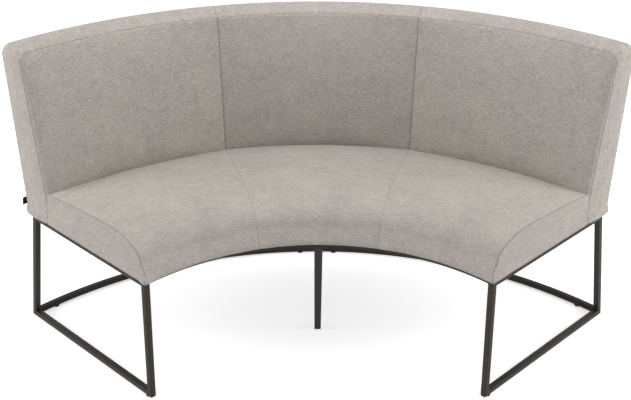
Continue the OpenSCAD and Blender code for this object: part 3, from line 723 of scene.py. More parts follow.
def lifts_of(bases, limit, pressure):
    """The cloth's lift over each panel, on an even grid."""
    down, over = (np.linspace(0, 1, count) for count in LIFT_GRID)
    return inflate([base(down, over) for base in bases], limit, pressure)


def read_lift(lift, down, over):
    """Reads a lift at shares of the panel's height and width."""
    even_down, even_over = (np.linspace(0, 1, count) for count in LIFT_GRID)
    wide = np.array([np.interp(over, even_over, row) for row in lift])
    return np.array([np.interp(down, even_down, wide[:, j]) for j in range(len(over))]).T


PUCKER_START, PUCKER_REACH = 0.003, 0.012
FLAT_BESIDE_SEAM = 0.03
RIPPLES_MM = (13, 19, 31, 47)
UNEVEN_MM = (97, 151, 233), (83, 127, 190)


def dressed(base, crown, lift, seed, sewn="lhab", step=None, right=False, depth=1.0):
    """A sewn panel over a base surface, as a grid of points and its weave coordinates.

    base takes shares up and across. crown takes the same and gives its height. sewn names the
    edges that a seam draws in: l low, h high, a the first column, b the last.
    """
    sewing = bpy.context.scene.bench_sewing
    even = np.linspace(0, 1, 200)
    middle = np.array([0.5])
    tall = run_of(base(even, middle)[:, 0])
    wide = run_of(base(middle, even)[0])
    step = step or sewing.step
    up = stations(tall[-1], step, "l" in sewn, "h" in sewn)
    across = stations(wide[-1], step, "a" in sewn, "b" in sewn)
    down_share = np.interp(up, tall, even)
    over_share = np.interp(across, wide, even)
    grid = base(down_share, over_share)
    up_run = np.concatenate(
        [np.zeros((1, grid.shape[1])),
         np.cumsum(np.linalg.norm(np.diff(grid, axis=0), axis=-1), axis=0)]
    )
    across_run = np.concatenate(
        [np.zeros((grid.shape[0], 1)),
         np.cumsum(np.linalg.norm(np.diff(grid, axis=1), axis=-1), axis=1)], axis=1
    )
    edges = {
        "l": (up_run, across_run), "h": (up_run[-1] - up_run, across_run),
        "a": (across_run, up_run), "b": (across_run[:, -1:] - across_run, up_run),
    }
    height = crown(down_share[:, None], over_share[None, :])
    height = height * (1 + read_lift(lift, down_share, over_share) / max(height.max(), 1e-6))
    draw = np.zeros_like(height)
    nearest = np.full_like(height, 1.0)
    for number, name in enumerate(sewn):
        away, beside = edges[name]
        draw = np.maximum(draw, np.clip(1 - away / sewing.seam_width, 0, 1) ** 2)
        ripple = sewing.pucker * waves(beside, RIPPLES_MM, seed * 7 + number)
        height += ripple * np.exp(-away / PUCKER_REACH) * (1 - np.exp(-away / PUCKER_START))
        nearest = np.minimum(nearest, away)
    uneven = waves(across_run + 0.35 * up_run, UNEVEN_MM[0], seed) + waves(
        up_run - 0.3 * across_run, UNEVEN_MM[1], seed + 50
    )
    height += sewing.unevenness * uneven * (1 - np.exp(-nearest / FLAT_BESIDE_SEAM)) / 2
    grid = grid + normals(grid) * (height - depth * sewing.seam_depth * draw)[..., None]
    weave = np.stack([across_run - across_run[:, -1:] / 2, up_run], -1)
    if right:
        grid, weave = mirrored(grid), mirrored(weave)
    return grid, weave


def wrapped(name, outer, inner, weave=None):
    """Closed mesh between an outer and an inner grid."""
    rows, cols = outer.shape[:2]
    front = np.arange(rows * cols).reshape(rows, cols)
    back = front + rows * cols
    strips = [
        (front[:-1, :-1], front[:-1, 1:], front[1:, 1:], front[1:, :-1]),
        (back[:-1, :-1], back[1:, :-1], back[1:, 1:], back[:-1, 1:]),
        (back[0, :-1], back[0, 1:], front[0, 1:], front[0, :-1]),
        (front[-1, :-1], front[-1, 1:], back[-1, 1:], back[-1, :-1]),
        (front[:-1, 0], front[1:, 0], back[1:, 0], back[:-1, 0]),
        (front[1:, -1], front[:-1, -1], back[:-1, -1], back[1:, -1]),
    ]
    faces = np.concatenate([np.stack(strip, -1).reshape(-1, 4) for strip in strips])
    points = np.concatenate([outer.reshape(-1, 3), inner.reshape(-1, 3)])
    mesh = bpy.data.meshes.new(name)
    mesh.from_pydata(points.tolist(), [], faces.tolist())
    mesh.shade_smooth()
    if weave is not None:
        layer = mesh.uv_layers.new(name="weave")
        flat = np.concatenate([weave.reshape(-1, 2)] * 2)
        layer.data.foreach_set("uv", flat[faces.reshape(-1)].astype(np.float32).ravel())
    return mesh


def place_piece(name, mesh, slot, nodes=()):
    """Links a mesh as a piece that stands for CAD nodes."""
    mesh.materials.clear()
    mesh.materials.append(finish(slot))
    obj = bpy.data.objects.new(name, mesh)
    bpy.context.scene.collection.objects.link(obj)
    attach(obj, "root")
    if nodes:
        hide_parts(*nodes)
    return obj


def cover(name, grid, weave, slot, node):
    """A sewn cover: a closed sheet of cloth and wadding behind a grid. Its hem has no wadding."""
    plan = Plan()
    wadding_h, hem_share = 0.012, 0.15
    full = np.clip((grid[..., 2:] - plan.top) / wadding_h, hem_share, 1)
    mesh = wrapped(name, grid, grid - normals(grid) * plan.sewing.cover_t * full, weave)
    obj = place_piece(name, mesh, slot, [node])


def prism(name, rings):
    """Mesh through a row of rings, capped at both ends."""
    rings = np.asarray(rings)
    count, points = rings.shape[:2]
    index = np.arange(count * points).reshape(count, points)
    nxt = np.roll(index, -1, axis=1)
    faces = np.stack([index[:-1], nxt[:-1], nxt[1:], index[1:]], -1).reshape(-1, 4).tolist()
    faces += [index[0][::-1].tolist(), index[-1].tolist()]
    mesh = bpy.data.meshes.new(name)
    mesh.from_pydata(rings.reshape(-1, 3).tolist(), [], faces)
    tidy(mesh)
    return mesh


def tidy(mesh, sharp=40):
    """Outward normals, smooth faces and sharp edges at the corners."""
    work = bmesh.new()
    work.from_mesh(mesh)
    bmesh.ops.recalc_face_normals(work, faces=work.faces)
    work.to_mesh(mesh)
    work.free()
    mesh.shade_smooth()
    mesh.set_sharp_from_angle(angle=math.radians(sharp))


def joined(name, meshes):
    """One mesh from several."""
    work = bmesh.new()
    for mesh in meshes:
        work.from_mesh(mesh)
        bpy.data.meshes.remove(mesh)
    whole = bpy.data.meshes.new(name)
    work.to_mesh(whole)
    work.free()
    tidy(whole)
    return whole


def rounded_outline(half_w, half_h, radius, steps=4):
    """Outline of a rounded rectangle, anticlockwise."""
    points = []
    for turn, (sx, sy) in enumerate([(1, 1), (-1, 1), (-1, -1), (1, -1)]):
        for step in range(steps + 1):
            at = math.pi / 2 * (turn + step / steps)
            points.append(
                (sx * (half_w - radius) + radius * math.cos(at),
                 sy * (half_h - radius) + radius * math.sin(at))
            )
    return np.array(points)


def node_tree(name, inputs):
    """A Geometry Nodes tree with named inputs. Returns it with its input wires by name."""
    tree = bpy.data.node_groups.new(name, "GeometryNodeTree")
    tree.interface.new_socket(name="Geometry", in_out="INPUT", socket_type="NodeSocketGeometry")
    for label, kind in inputs.items():
        tree.interface.new_socket(name=label, in_out="INPUT", socket_type="NodeSocket" + kind)
    tree.interface.new_socket(name="Geometry", in_out="OUTPUT", socket_type="NodeSocketGeometry")
    entry = tree.nodes.new("NodeGroupInput")
    return tree, {socket.name: Wire(tree, socket) for socket in entry.outputs if socket.name}


def end_tree(tree, geometry, material):
    """Realize Instances and Set Material, then the tree's output."""
    real = add(tree, "GeometryNodeRealizeInstances", None, {0: geometry})
    painted = add(tree, "GeometryNodeSetMaterial", None, {"Geometry": real, "Material": material})
    add(tree, "NodeGroupOutput", None, {0: painted})


def grown(name, tree, lines, values):
    """Runs a tree on lines of points and returns the plain mesh that it makes."""
    points, edges = [], []
    for line in lines:
        first = len(points)
        points += [tuple(point) for point in line]
        edges += [(first + i, first + i + 1) for i in range(len(line) - 1)]
    path = bpy.data.meshes.new(name + "_path")
    path.from_pydata(points, edges, [])
    obj = bpy.data.objects.new(name + "_path", path)
    bpy.context.scene.collection.objects.link(obj)
    modifier = obj.modifiers.new("grow", "NODES")
    modifier.node_group = tree
    sockets = {item.name: item.identifier for item in tree.interface.items_tree
               if item.in_out == "INPUT"}
    for key, value in values.items():
        modifier[sockets[key]] = value
    bpy.context.view_layer.update()
    graph = bpy.context.evaluated_depsgraph_get()
    mesh = bpy.data.meshes.new_from_object(obj.evaluated_get(graph))
    mesh.name = name
    bpy.data.objects.remove(obj)
    bpy.data.meshes.remove(path)
    if not mesh.polygons:
        raise RuntimeError(f"{name} came out empty")
    return mesh


def tube_tree():
    """Square tube with rounded corners along a path."""
    tree, given = node_tree(
        "bent tube", {"Width": "Float", "Corner": "Float", "Material": "Material"}
    )
    path = add(tree, "GeometryNodeMeshToCurve", None, {"Mesh": given["Geometry"]})
    path = add(tree, "GeometryNodeSetCurveNormal", {"mode": "Z_UP"}, {"Curve": path})
    outline = add(
        tree, "GeometryNodeCurvePrimitiveQuadrilateral", None,
        {"Width": given["Width"], "Height": given["Width"]},
    )
    outline = add(
        tree, "GeometryNodeFilletCurve", {"mode": "POLY"},
        {"Curve": outline, "Radius": given["Corner"], "Count": 4},
    )
    tube = add(
        tree, "GeometryNodeCurveToMesh", None,
        {"Curve": path, "Profile Curve": outline, "Fill Caps": True},
    )
    end_tree(tree, tube, given["Material"])
    return tree


def bead_tree(name):
    """Small rounded bodies along a path: weld ripples or stitches."""
    tree, given = node_tree(
        name,
        {"Pitch": "Float", "Length": "Float", "Width": "Float", "Height": "Float",
         "Variation": "Float", "Seed": "Int", "Material": "Material"},
    )
    path = add(tree, "GeometryNodeMeshToCurve", None, {"Mesh": given["Geometry"]})
    spots = tree.nodes.new("GeometryNodeCurveToPoints")
    spots.mode = "LENGTH"
    tree.links.new(path.socket, spots.inputs["Curve"])
    tree.links.new(given["Pitch"].socket, spots.inputs["Length"])
    body = add(
        tree, "GeometryNodeMeshUVSphere", None, {"Segments": 8, "Rings": 6, "Radius": 0.5}
    )
    body = add(tree, "GeometryNodeSetShadeSmooth", None, {"Geometry": body})
    wobble = add(
        tree, "FunctionNodeRandomValue", None,
        {2: 1.0 - given["Variation"], 3: 1.0 + given["Variation"], "Seed": given["Seed"]}, 1
    )
    scale = add(
        tree, "ShaderNodeCombineXYZ", None,
        {0: given["Length"] * wobble, 1: given["Width"] * wobble, 2: given["Height"]},
    )
    turned = add(
        tree, "FunctionNodeAlignRotationToVector", {"axis": "X"},
        {"Vector": Wire(tree, spots.outputs["Tangent"])},
    )
    bodies = add(
        tree, "GeometryNodeInstanceOnPoints", None,
        {"Points": Wire(tree, spots.outputs["Points"]), "Instance": body, "Rotation": turned,
         "Scale": scale},
    )
    end_tree(tree, bodies, given["Material"])
    return tree


def glide_tree():
    """Round moulded glides at the points of a mesh."""
    tree, given = node_tree(
        "glides", {"Diameter": "Float", "Height": "Float", "Material": "Material"}
    )
    spots = add(tree, "GeometryNodeMeshToPoints", None, {"Mesh": given["Geometry"]})
    layers = []
    # Each disc's foot and top as shares of the height, and its share of the diameter.
    for low, high, wide in ((0.0, 0.22, 0.90), (0.16, 0.80, 1.0), (0.76, 1.0, 0.82)):
        disc = add(
            tree, "GeometryNodeMeshCylinder", None,
            {"Vertices": 40, "Radius": given["Diameter"] * (wide / 2),
             "Depth": given["Height"] * (high - low)},
        )
        lift = add(
            tree, "ShaderNodeCombineXYZ", None, {2: given["Height"] * ((low + high) / 2)}
        )
        layers.append(
            add(tree, "GeometryNodeTransform", None, {"Geometry": disc, "Translation": lift})
        )
    join = tree.nodes.new("GeometryNodeJoinGeometry")
    for layer in layers:
        tree.links.new(layer.socket, join.inputs[0])
    discs = add(
        tree, "GeometryNodeInstanceOnPoints", None,
        {"Points": spots, "Instance": Wire(tree, join.outputs[0])},
    )
    end_tree(tree, discs, given["Material"])
    return tree


class BENCH_OT_frame(bpy.types.Operator):
    """Builds the square tube frame: curved rails, closed end loops and cross rails"""

    bl_idname = "bench.frame"
    bl_label = "Tube frame"

    def execute(self, context):
        plan = Plan()
        size = plan.size
        half = size.tube / 2
        end_lap, cross_lap = 0.00005, 0.0001  # of a rail's end and the tube that it meets
        tree = tube_tree()
        values = {
            "Width": size.tube, "Corner": size.tube_round, "Material": finish("frame_metal")
        }
        lines = {}
        for node, r, z in (
            ("front_rail", plan.front_rail_r, plan.top - half),
            ("rear_top_rail", plan.rear_rail_r, plan.top - half),
            ("rear_floor_rail", plan.rear_foot_r, plan.floor + half),
        ):
            reach = plan.half - math.asin((half - end_lap) / r)
            lines[node] = plan.polar(r, np.linspace(-reach, reach, 145), z - plan.top)
        ends = np.array([plan.front_rail_r + half - cross_lap, plan.rear_rail_r - half])
        for node, side in (("left_cross_rail", -1), ("right_cross_rail", 1)):
            lines[node] = plan.polar(ends, side * plan.seam, -half)
        for node, line in lines.items():
            mesh = grown(node + "_tube", tree, [line], values)
            tidy(mesh)
            place_piece(node + "_tube", mesh, "frame_metal", [node])
        self.loops(plan)
        return {"FINISHED"}

    def loops(self, plan):
        """The end loops, each of four members mitred at the corners."""
        size = plan.size
        half = size.tube / 2
        high = plan.top - plan.floor
        lean_f, lean_r = size.front_leg_lean / high, size.rear_leg_lean / high
        outline = rounded_outline(half, half, size.tube_round)

        def corner(number, side):
            inset = -outline[:, 0]
            z = plan.floor + half + inset if number in (0, 3) else plan.top - half - inset
            if number in (0, 1):
                r = plan.front_foot_r - lean_f * (z - plan.floor) + inset * math.hypot(1, lean_f)
            else:
                r = plan.rear_foot_r - lean_r * (z - plan.floor) - inset * math.hypot(1, lean_r)
            at = side * plan.half
            points = plan.polar(r, at, z - plan.top)
            return points + outline[:, 1:] * np.array([math.cos(at), -math.sin(at), 0])

        for word, side in (("left", -1), ("right", 1)):
            for part, start, end in (
                ("front_leg", 0, 1), ("top_rail", 1, 2), ("rear_leg", 2, 3),
                ("floor_runner", 3, 0),
            ):
                node = f"{word}_{part}"
                mesh = prism(node + "_tube", [corner(start, side), corner(end, side)])
                place_piece(node + "_tube", mesh, "frame_metal", [node])


class BENCH_OT_centre_leg(bpy.types.Operator):
    """Builds the tapered centre leg with its tongue over the front rail, and its cap"""

    bl_idname = "bench.centre_leg"
    bl_label = "Centre leg"

    def execute(self, context):
        plan = Plan()
        size = plan.size
        face = plan.front_rail_r - size.tube / 2
        rail_low = plan.top - size.tube
        into_leg = 0.006  # how far the tongue runs down into the leg

        def ring(z, depth=size.leg_depth, front=None, grow=0.0, radius=0.0028):
            wide = size.leg_foot_w + (size.leg_head_w - size.leg_foot_w) * z / plan.top
            outline = rounded_outline(wide / 2 + grow, depth / 2 + grow, radius)
            lead = face + size.leg_lean * (rail_low - z) / rail_low if front is None else front
            x, y = outline[:, 0], lead + depth / 2 + outline[:, 1] - plan.arc_back
            return np.stack([x, y, np.full(len(x), z)], -1)

        leg = prism("leg", [ring(z) for z in np.linspace(size.leg_cap_h, rail_low, 9)])
        drop = size.tube + size.tongue_t * 2
        low = plan.top - drop
        lead = face + size.leg_lean * (rail_low - low + into_leg) / rail_low
        # The tongue runs out into the leg below and laps the rail: height, front and depth.
        steps = [
            (low - into_leg, lead - 0.0003, 0.0010), (low - 0.002, face - 0.0012, 0.0036),
            (low + 0.002, face - 0.0026, 0.0040), (low + 0.006, face - size.tongue_t, 0.0031),
            (plan.top - 0.0012, face - size.tongue_t, 0.0030),
            (plan.top - 0.0002, face - size.tongue_t + 0.0007, 0.0020),
        ]
        tongue = prism(
            "tongue", [ring(z, depth, front, radius=0.0004) for z, front, depth in steps]
        )
        mesh = joined("centre_leg_bar", [leg, tongue])
        place_piece("centre_leg_bar", mesh, "frame_metal", ["centre_leg"])
        heights = [
            (0.0, -0.0008), (0.0007, -0.0001), (0.0012, 0.0), (size.leg_cap_h - 0.0008, 0.0),
            (size.leg_cap_h, -0.0006),
        ]
        cap = prism("centre_leg_cap_moulded", [ring(z, grow=grow) for z, grow in heights])
        place_piece("centre_leg_cap_moulded", cap, "glide_plastic", ["centre_leg_cap"])
        return {"FINISHED"}


class BENCH_OT_welds(bpy.types.Operator):
    """Builds the weld beads round the ends of the rails"""

    bl_idname = "bench.welds"
    bl_label = "Welds"

    def execute(self, context):
        plan = Plan()
        size = plan.size
        half = size.tube / 2
        out = half + 0.0002
        end_gap, side_gap = 0.0004, 0.0003  # from a bead's middle to the tube that it meets
        below_top = 0.0016  # a bead stops this far below the wood that lies on the rail
        lines = []
        for r, z in (
            (plan.front_rail_r, plan.top - half), (plan.rear_rail_r, plan.top - half),
            (plan.rear_foot_r, plan.floor + half),
        ):
            for side in (-1, 1):
                reach = side * (plan.half - math.asin((half + end_gap) / r))
                if z > plan.top / 2:
                    high = out - below_top
                    corners = [(-out, high), (-out, -out), (out, -out), (out, high)]
                else:
                    corners = [(-out, -out), (-out, out), (out, out), (out, -out)]
                lines.append(
                    [plan.polar(r + dr, reach, z + dz - plan.top) for dr, dz in corners]
                )
        for side in (-1, 1):
            for r in (plan.front_rail_r + half + side_gap, plan.rear_rail_r - half - side_gap):
                turn = half / r
                corners = [(-turn, -below_top), (-turn, -size.tube), (turn, -size.tube),
                           (turn, -below_top)]
                lines.append([plan.polar(r, side * plan.seam + at, up) for at, up in corners])
        mesh = grown(
            "weld_beads", bead_tree("weld beads"), lines,
            {"Pitch": 0.0011, "Length": 0.0026, "Width": 0.0030, "Height": 0.0030,
             "Variation": 0.16, "Seed": 3, "Material": finish("frame_metal")},
        )
        place_piece("weld_beads", mesh, "frame_metal")
        return {"FINISHED"}


class BENCH_OT_glides(bpy.types.Operator):
    """Builds the round glides under the floor rail and the runners"""

    bl_idname = "bench.glides"
    bl_label = "Floor glides"

    def execute(self, context):
        plan = Plan()
        size = plan.size
        outer = plan.half - math.asin(size.outer_glide_in / plan.rear_foot_r)
        middle = math.asin(size.middle_glide_x / plan.rear_foot_r)
        spots = [plan.polar(plan.rear_foot_r, at, -plan.top) for at in
                 (-outer, -middle, middle, outer)]
        spots += [plan.polar(plan.front_foot_r + size.runner_glide_back, side * plan.half,
                             -plan.top) for side in (-1, 1)]
        mesh = grown(
            "floor_glides_moulded", glide_tree(), [[spot] for spot in spots],
            {"Diameter": size.glide_d, "Height": plan.floor, "Material": finish("glide_plastic")},
        )
        tidy(mesh)
        place_piece("floor_glides_moulded", mesh, "glide_plastic", ["floor_glides"])
        return {"FINISHED"}


class BENCH_OT_inside(bpy.types.Operator):
    """Gives every solid that stays a finish, and stretches the cloth under the seat"""

    bl_idname = "bench.inside"
    bl_label = "Boards and fixings"

    def execute(self, context):
        plan = Plan()
        slots = {row["node"]: row["material_slot"] for row in frame["record"]["subparts"]}
        for name, obj in frame["nodes"].items():
            for socket in obj.material_slots:
                socket.material = finish(slots[name])
        front_in, rear_in, inset = 0.0165, 0.0095, 0.0055
        above_tube, thick = 0.0008, 0.0005
        front = plan.seat_front_r + front_in
        rear = plan.outer_r(0) - rear_in
        r = np.linspace(0, 1, 40)[:, None] * (rear - front) + front
        at = -plan.in_from_end(r, inset) * (2 * np.linspace(0, 1, 120)[None, :] - 1)
        grid = plan.polar(r, at, above_tube)
        mesh = wrapped("dust_cover_cloth", grid, grid - normals(grid) * thick)
        obj = place_piece("dust_cover_cloth", mesh, "dust_cloth", ["dust_cover"])
        middle_r = 0.92
        area = (rear**2 - front**2) * (plan.half - inset / middle_r)
        wide = 2 * rear * math.sin(plan.half)
        deep = rear - front * math.cos(plan.half)
        return {"FINISHED"}


def seat_bases(plan):
    """Base surfaces of the seat's end and middle panels, and of its end cloth."""
    size, sewing = plan.size, plan.sewing
    section = plan.seat_section()
    run = run_of(section[:, :2])
    run /= run[-1]
    hang_h = 0.03  # height over which a hem's hang fades out
    bulge_depth = 0.09  # how far ahead of the back the seat follows its bulge
    middle_bulge = 0.5  # the middle panel's share of the bulge
    crown_share = 0.7  # of the solid's crown. The filling lifts the rest
    end_crown_share = 0.6
    rim_in = 0.5  # share of a seam's depth by which the end cloth's rim lies in
    lip = 0.001
    hem_share = 0.18  # share of the end over which its hem falls to the front corner's
    upright = 4  # how high the end's rear edge stays upright

    def row(down, column):
        return np.interp(down, run, section[:, column])

    def panel(start, to_angle, right=False):
        def base(down, over):
            r, z = row(down, 0)[:, None], row(down, 1)[:, None]
            low = np.clip(1 - (z - GAP) / hang_h, 0, 1)
            first = start(r, z - plan.hang(-plan.half, right) * low)
            last = to_angle - np.arcsin(GAP / 2 / r)
            at = first + (last - first) * over[None, :]
            near_back = np.clip(1 - (plan.seat_rear_r - r) / bulge_depth, 0, 1) ** 2
            part = middle_bulge if start is from_seam else 1.0
            bulge = size.crease_bulge * part * swell(over)
            return plan.polar(
                r - near_back * bulge[None, :], at, z - plan.hang(at, right) * low)

        return base

    def from_end(r, z):
        return plan.in_from_cloth(r, sewing.edge, z)

    def from_seam(r, _z):
        return np.arcsin(GAP / 2 / r) - plan.seam

    def crown(down, over):
        return crown_share * size.seat_crown * row(down, 2) * swell(over)

    line = np.stack([row(np.linspace(0, 1, 600), column) for column in (0, 1)], -1)
    tangent = np.gradient(line, axis=0)
    outward = np.stack([-tangent[:, 1], tangent[:, 0]], -1)
    outward /= np.linalg.norm(outward, axis=1, keepdims=True)
    rim = line - outward * sewing.seam_depth * rim_in
    turned = (outward[:, 0] > outward[:, 1]) & (line[:, 0] > plan.seat_rear_r - 0.03)
    keep = (line[:, 1] > 0.004) & (np.arange(len(line)) < np.argmax(turned))
    rim, first = rim[keep], rim[keep][0]
    rim_run = run_of(rim)
    rim_run /= rim_run[-1]

    def end(right):
        def base(down, over):
            r = np.interp(down, rim_run, rim[:, 0])[:, None]
            z = np.interp(down, rim_run, rim[:, 1])[:, None]
            reach = plan.seat_rear_r + sewing.squeeze - first[0] - 2 * lip
            foot = first[0] + lip + reach * down[:, None]
            radius = foot + (r - foot) * over[None, :] ** upright
            corner = plan.hang(-plan.half, right)
            near = np.clip(1 - down / hem_share, 0, 1)[:, None]
            hem = sewing.end_hem + (corner - sewing.end_hem) * near**2 * (3 - 2 * near)
            height = -hem + (z + hem) * over[None, :]
            return plan.polar(radius, plan.in_from_cloth(radius, 0.0, height), height)

        return base

    def end_crown(down, over):
        high = size.end_crown * end_crown_share
        return high * np.sin(np.pi * down) * np.sin(np.pi * over)

    panels = {
        "left": panel(from_end, -plan.seam), "centre": panel(from_seam, plan.seam),
        "right": panel(from_end, -plan.seam, True),
    }
    ends = {"left": end(False), "right": end(True)}
    return panels, crown, ends, end_crown


def back_bases(plan):
    """Base surfaces of the back's panels: front, band and outer, for an end and the middle."""
    size, sewing = plan.size, plan.sewing
    rim = sewing.edge
    low = 0.001  # height at which the face starts
    middle_bulge = 0.5  # the middle panel's share of the bulge at the crease
    crown_share, band_share, outer_share = 0.9, 0.95, 0.6  # of the solids' crowns
    taper = 0.4  # share of the crown that is lost on the way up
    crease_roll = 0.16  # share of the height over which the face swells above the crease
    end_swell = 1.8  # how far an end panel swells there, as a share of its extra bulge
    wide = 2 * plan.half * plan.back_front_r / 3

    def across_of(over, r, z, seam_angle):
        """Plan angle at a share across an end panel, at even distances."""
        x = rim + (wide - rim) * over
        near = plan.in_from_cloth(r, np.minimum(x, size.corner_r), z)
        far = seam_angle - np.arcsin(GAP / 2 / r)
        along = np.clip((x - size.corner_r) / (wide - size.corner_r), 0, 1)
        return np.where(x <= size.corner_r, near, near + (far - near) * along)

    def drop(over):
        x = rim + (wide - rim) * over
        inside = np.clip((size.corner_r - x) / (size.corner_r - rim), 0, 1)
        return rim + (size.corner_r - rim) * (1 - np.sqrt(1 - inside**2))

    share_low = (size.crease_h - low) / (size.back_h - low)

    def end_front(down, over):
        top = size.back_h - drop(over)[None, :]
        z = low + (top - low) * down[:, None]
        r = plan.face_r(z)
        return plan.polar(r, across_of(over[None, :], r, z, -plan.seam), z)

    def middle_front(down, over):
        z = low + (size.back_h - rim - low) * down[:, None]
        r = plan.face_r(z)
        edge = plan.seam - np.arcsin(GAP / 2 / r)
        return plan.polar(r, edge * (2 * over[None, :] - 1), z)

    def face_crown(down, over, at_crease):
        """Crown of a front panel, from its bulge at the crease to its flat top."""
        at = np.clip((down - share_low) / (1 - share_low), 0, 1)
        extra = (at_crease - middle_bulge * size.crease_bulge) * (1 - at) ** 2
        full = crown_share * size.back_crown + end_swell * extra
        full = full * (1 - at**8) * (1 - taper * at)
        roll = np.sin(np.pi / 2 * np.clip(at / crease_roll, 0, 1)) ** 0.8
        return (at_crease + (full - at_crease) * roll) * swell(over)

    def middle_crown(down, over):
        return face_crown(down, over, middle_bulge * size.crease_bulge)

    def end_crown(down, over):
        """Adds the padding that rolls round to the band at the end."""
        top = 1 - np.clip((down - share_low) / (1 - share_low), 0, 1) ** 12
        inside = np.clip(1 - wide * over / size.end_roll_w, 0, 1)
        rolled = size.end_roll * np.sqrt(1 - inside**2) * top
        away = 1 - np.clip((over - 0.5) / 0.5, 0, 1) ** 2
        return face_crown(down, over, size.crease_bulge) + rolled * away

    def outer_z(down, top):
        return (top + sewing.end_hem) * down - sewing.end_hem

    def end_outer(down, over):
        turned = over[::-1]
        x = rim + (wide - rim) * turned
        rise = size.top_rise * np.sqrt(
            1 - np.clip((size.corner_r - x) / size.corner_r, 0, 1) ** 2)
        z = outer_z(down[:, None], (size.back_h + rise - drop(turned))[None, :])
        r = plan.outer_r(z)
        return plan.polar(r, across_of(turned[None, :], r, z, -plan.seam), z)

    def middle_outer(down, over):
        z = outer_z(down[:, None], size.back_h + size.top_rise - rim)
        r = plan.outer_r(z)
        edge = plan.seam - np.arcsin(GAP / 2 / r)
        return plan.polar(r, edge * (1 - 2 * over[None, :]), z)

    def outer_crown(down, over):
        return outer_share * size.outer_crown * np.sin(np.pi * down) * swell(over)

    head = size.back_h - size.corner_r
    bend = size.corner_r * math.pi / 2
    top_run = wide - size.corner_r
    total = head + bend + top_run

    def band(down, over):
        s = (over * total)[None, :]
        turn = np.clip((s - head) / bend, 0, 1) * math.pi / 2
        along = np.clip((s - head - bend) / top_run, 0, 1)
        up = np.sin(turn)
        z_edge = np.where(s < head, s - sewing.end_hem * (1 - s / head),
                          size.back_h - size.corner_r * (1 - up))
        down = down[:, None]
        front, rear = plan.face_r(z_edge) + rim, plan.outer_r(z_edge) - rim
        r = front + (rear - front) * down
        z = z_edge + size.top_rise * down * up
        side = plan.in_from_cloth(r, size.corner_r * (1 - np.cos(turn)), z)
        far = -plan.seam - np.arcsin(GAP / 2 / r)
        return plan.polar(r, side + (far - side) * along, z)

    def band_crown(down, over):
        turn = np.clip((over * total - head) / bend, 0, 1) * math.pi / 2
        high = size.end_crown + (size.band_crown - size.end_crown) * np.sin(turn)
        return band_share * high * np.sin(np.pi * down)

    def middle_band(down, over):
        down = down[:, None]
        front, rear = plan.face_r(size.back_h) + rim, plan.outer_r(size.back_h) - rim
        r = front + (rear - front) * down
        edge = plan.seam - np.arcsin(GAP / 2 / r)
        z = size.back_h + size.top_rise * down
        return plan.polar(r, edge * (2 * over[None, :] - 1), z)

    def middle_band_crown(down, over):
        high = band_share * size.band_crown
        return high * np.sin(np.pi * down) * (0.9 + 0.1 * swell(over))

    return {
        "end_front": (end_front, end_crown), "middle_front": (middle_front, middle_crown),
        "end_outer": (end_outer, outer_crown), "middle_outer": (middle_outer, outer_crown),
        "end_band": (band, band_crown), "middle_band": (middle_band, middle_band_crown),
    }


STITCH_LINES = []


def stitched(grid, line):
    """Keeps the line of a seam, a little over the groove's floor, for the stitches."""
    at = {"h": np.s_[-1], "a": np.s_[:, 0], "b": np.s_[:, -1]}[line]
    STITCH_LINES.append(grid[at] + normals(grid)[at] * STITCH_OUT)


class BENCH_OT_seat(bpy.types.Operator):
    """Builds the seat's three sewn covers, the cloth on its ends and its foams"""

    bl_idname = "bench.seat"
    bl_label = "Seat"

    def execute(self, context):
        plan = Plan()
        sewing = plan.sewing
        panels, crown, ends, end_crown = seat_bases(plan)
        lifts = lifts_of(panels.values(), sewing.puff, sewing.pressure)
        for number, ((word, base), lift) in enumerate(zip(panels.items(), lifts)):
            right = word == "right"
            grid, weave = dressed(
                base, crown, lift, 11 + number, "ab", right=right, depth=sewing.seat_seam)
            cover(f"{word}_seat_sewn", grid, weave, "seat_fabric", f"{word}_seat_cover")
            if word != "centre":
                stitched(grid, "b" if right else "a")
            self.foam(plan, word, base, right)
        flat = np.zeros(LIFT_GRID)
        for number, (word, base) in enumerate(ends.items()):
            right = word == "right"
            grid, weave = dressed(
                base, end_crown, flat, 21 + number, "hb", 0.007, right, sewing.seat_seam)
            weave = weave[..., ::-1]
            cover(f"{word}_seat_end_sewn", grid, weave, "seat_fabric",
                  f"{word}_seat_end_panel")
        return {"FINISHED"}

    def foam(self, plan, word, base, right):
        """The foam under a seat cover, down to the webbing."""
        front_in, rear_in, start = 0.018, 0.009, 0.06
        foot, over_webbing = 0.007, 0.0002
        down, over = np.linspace(start, 1, 60), np.linspace(0, 1, 40)
        surface = base(down, over)
        grid = surface - normals(surface) * plan.foam_in
        front, rear = plan.seat_front_r + front_in, plan.seat_rear_r - rear_in
        part = np.linspace(0, 1, len(down))[:, None]
        r = front + (rear - front) * np.clip(part * (1 + start) - start, 0, 1)
        z = np.where(part < start / 2, foot, plan.size.seat_base + over_webbing)
        at = np.arctan2(surface[..., 0], surface[..., 1] + plan.arc_back)
        under = plan.polar(r, at, z)
        if right:
            grid, under = mirrored(grid), mirrored(under)
        mesh = wrapped(f"{word}_seat_padding", grid, under)
        obj = place_piece(f"{word}_seat_padding", mesh, "foam", [f"{word}_seat_foam"])


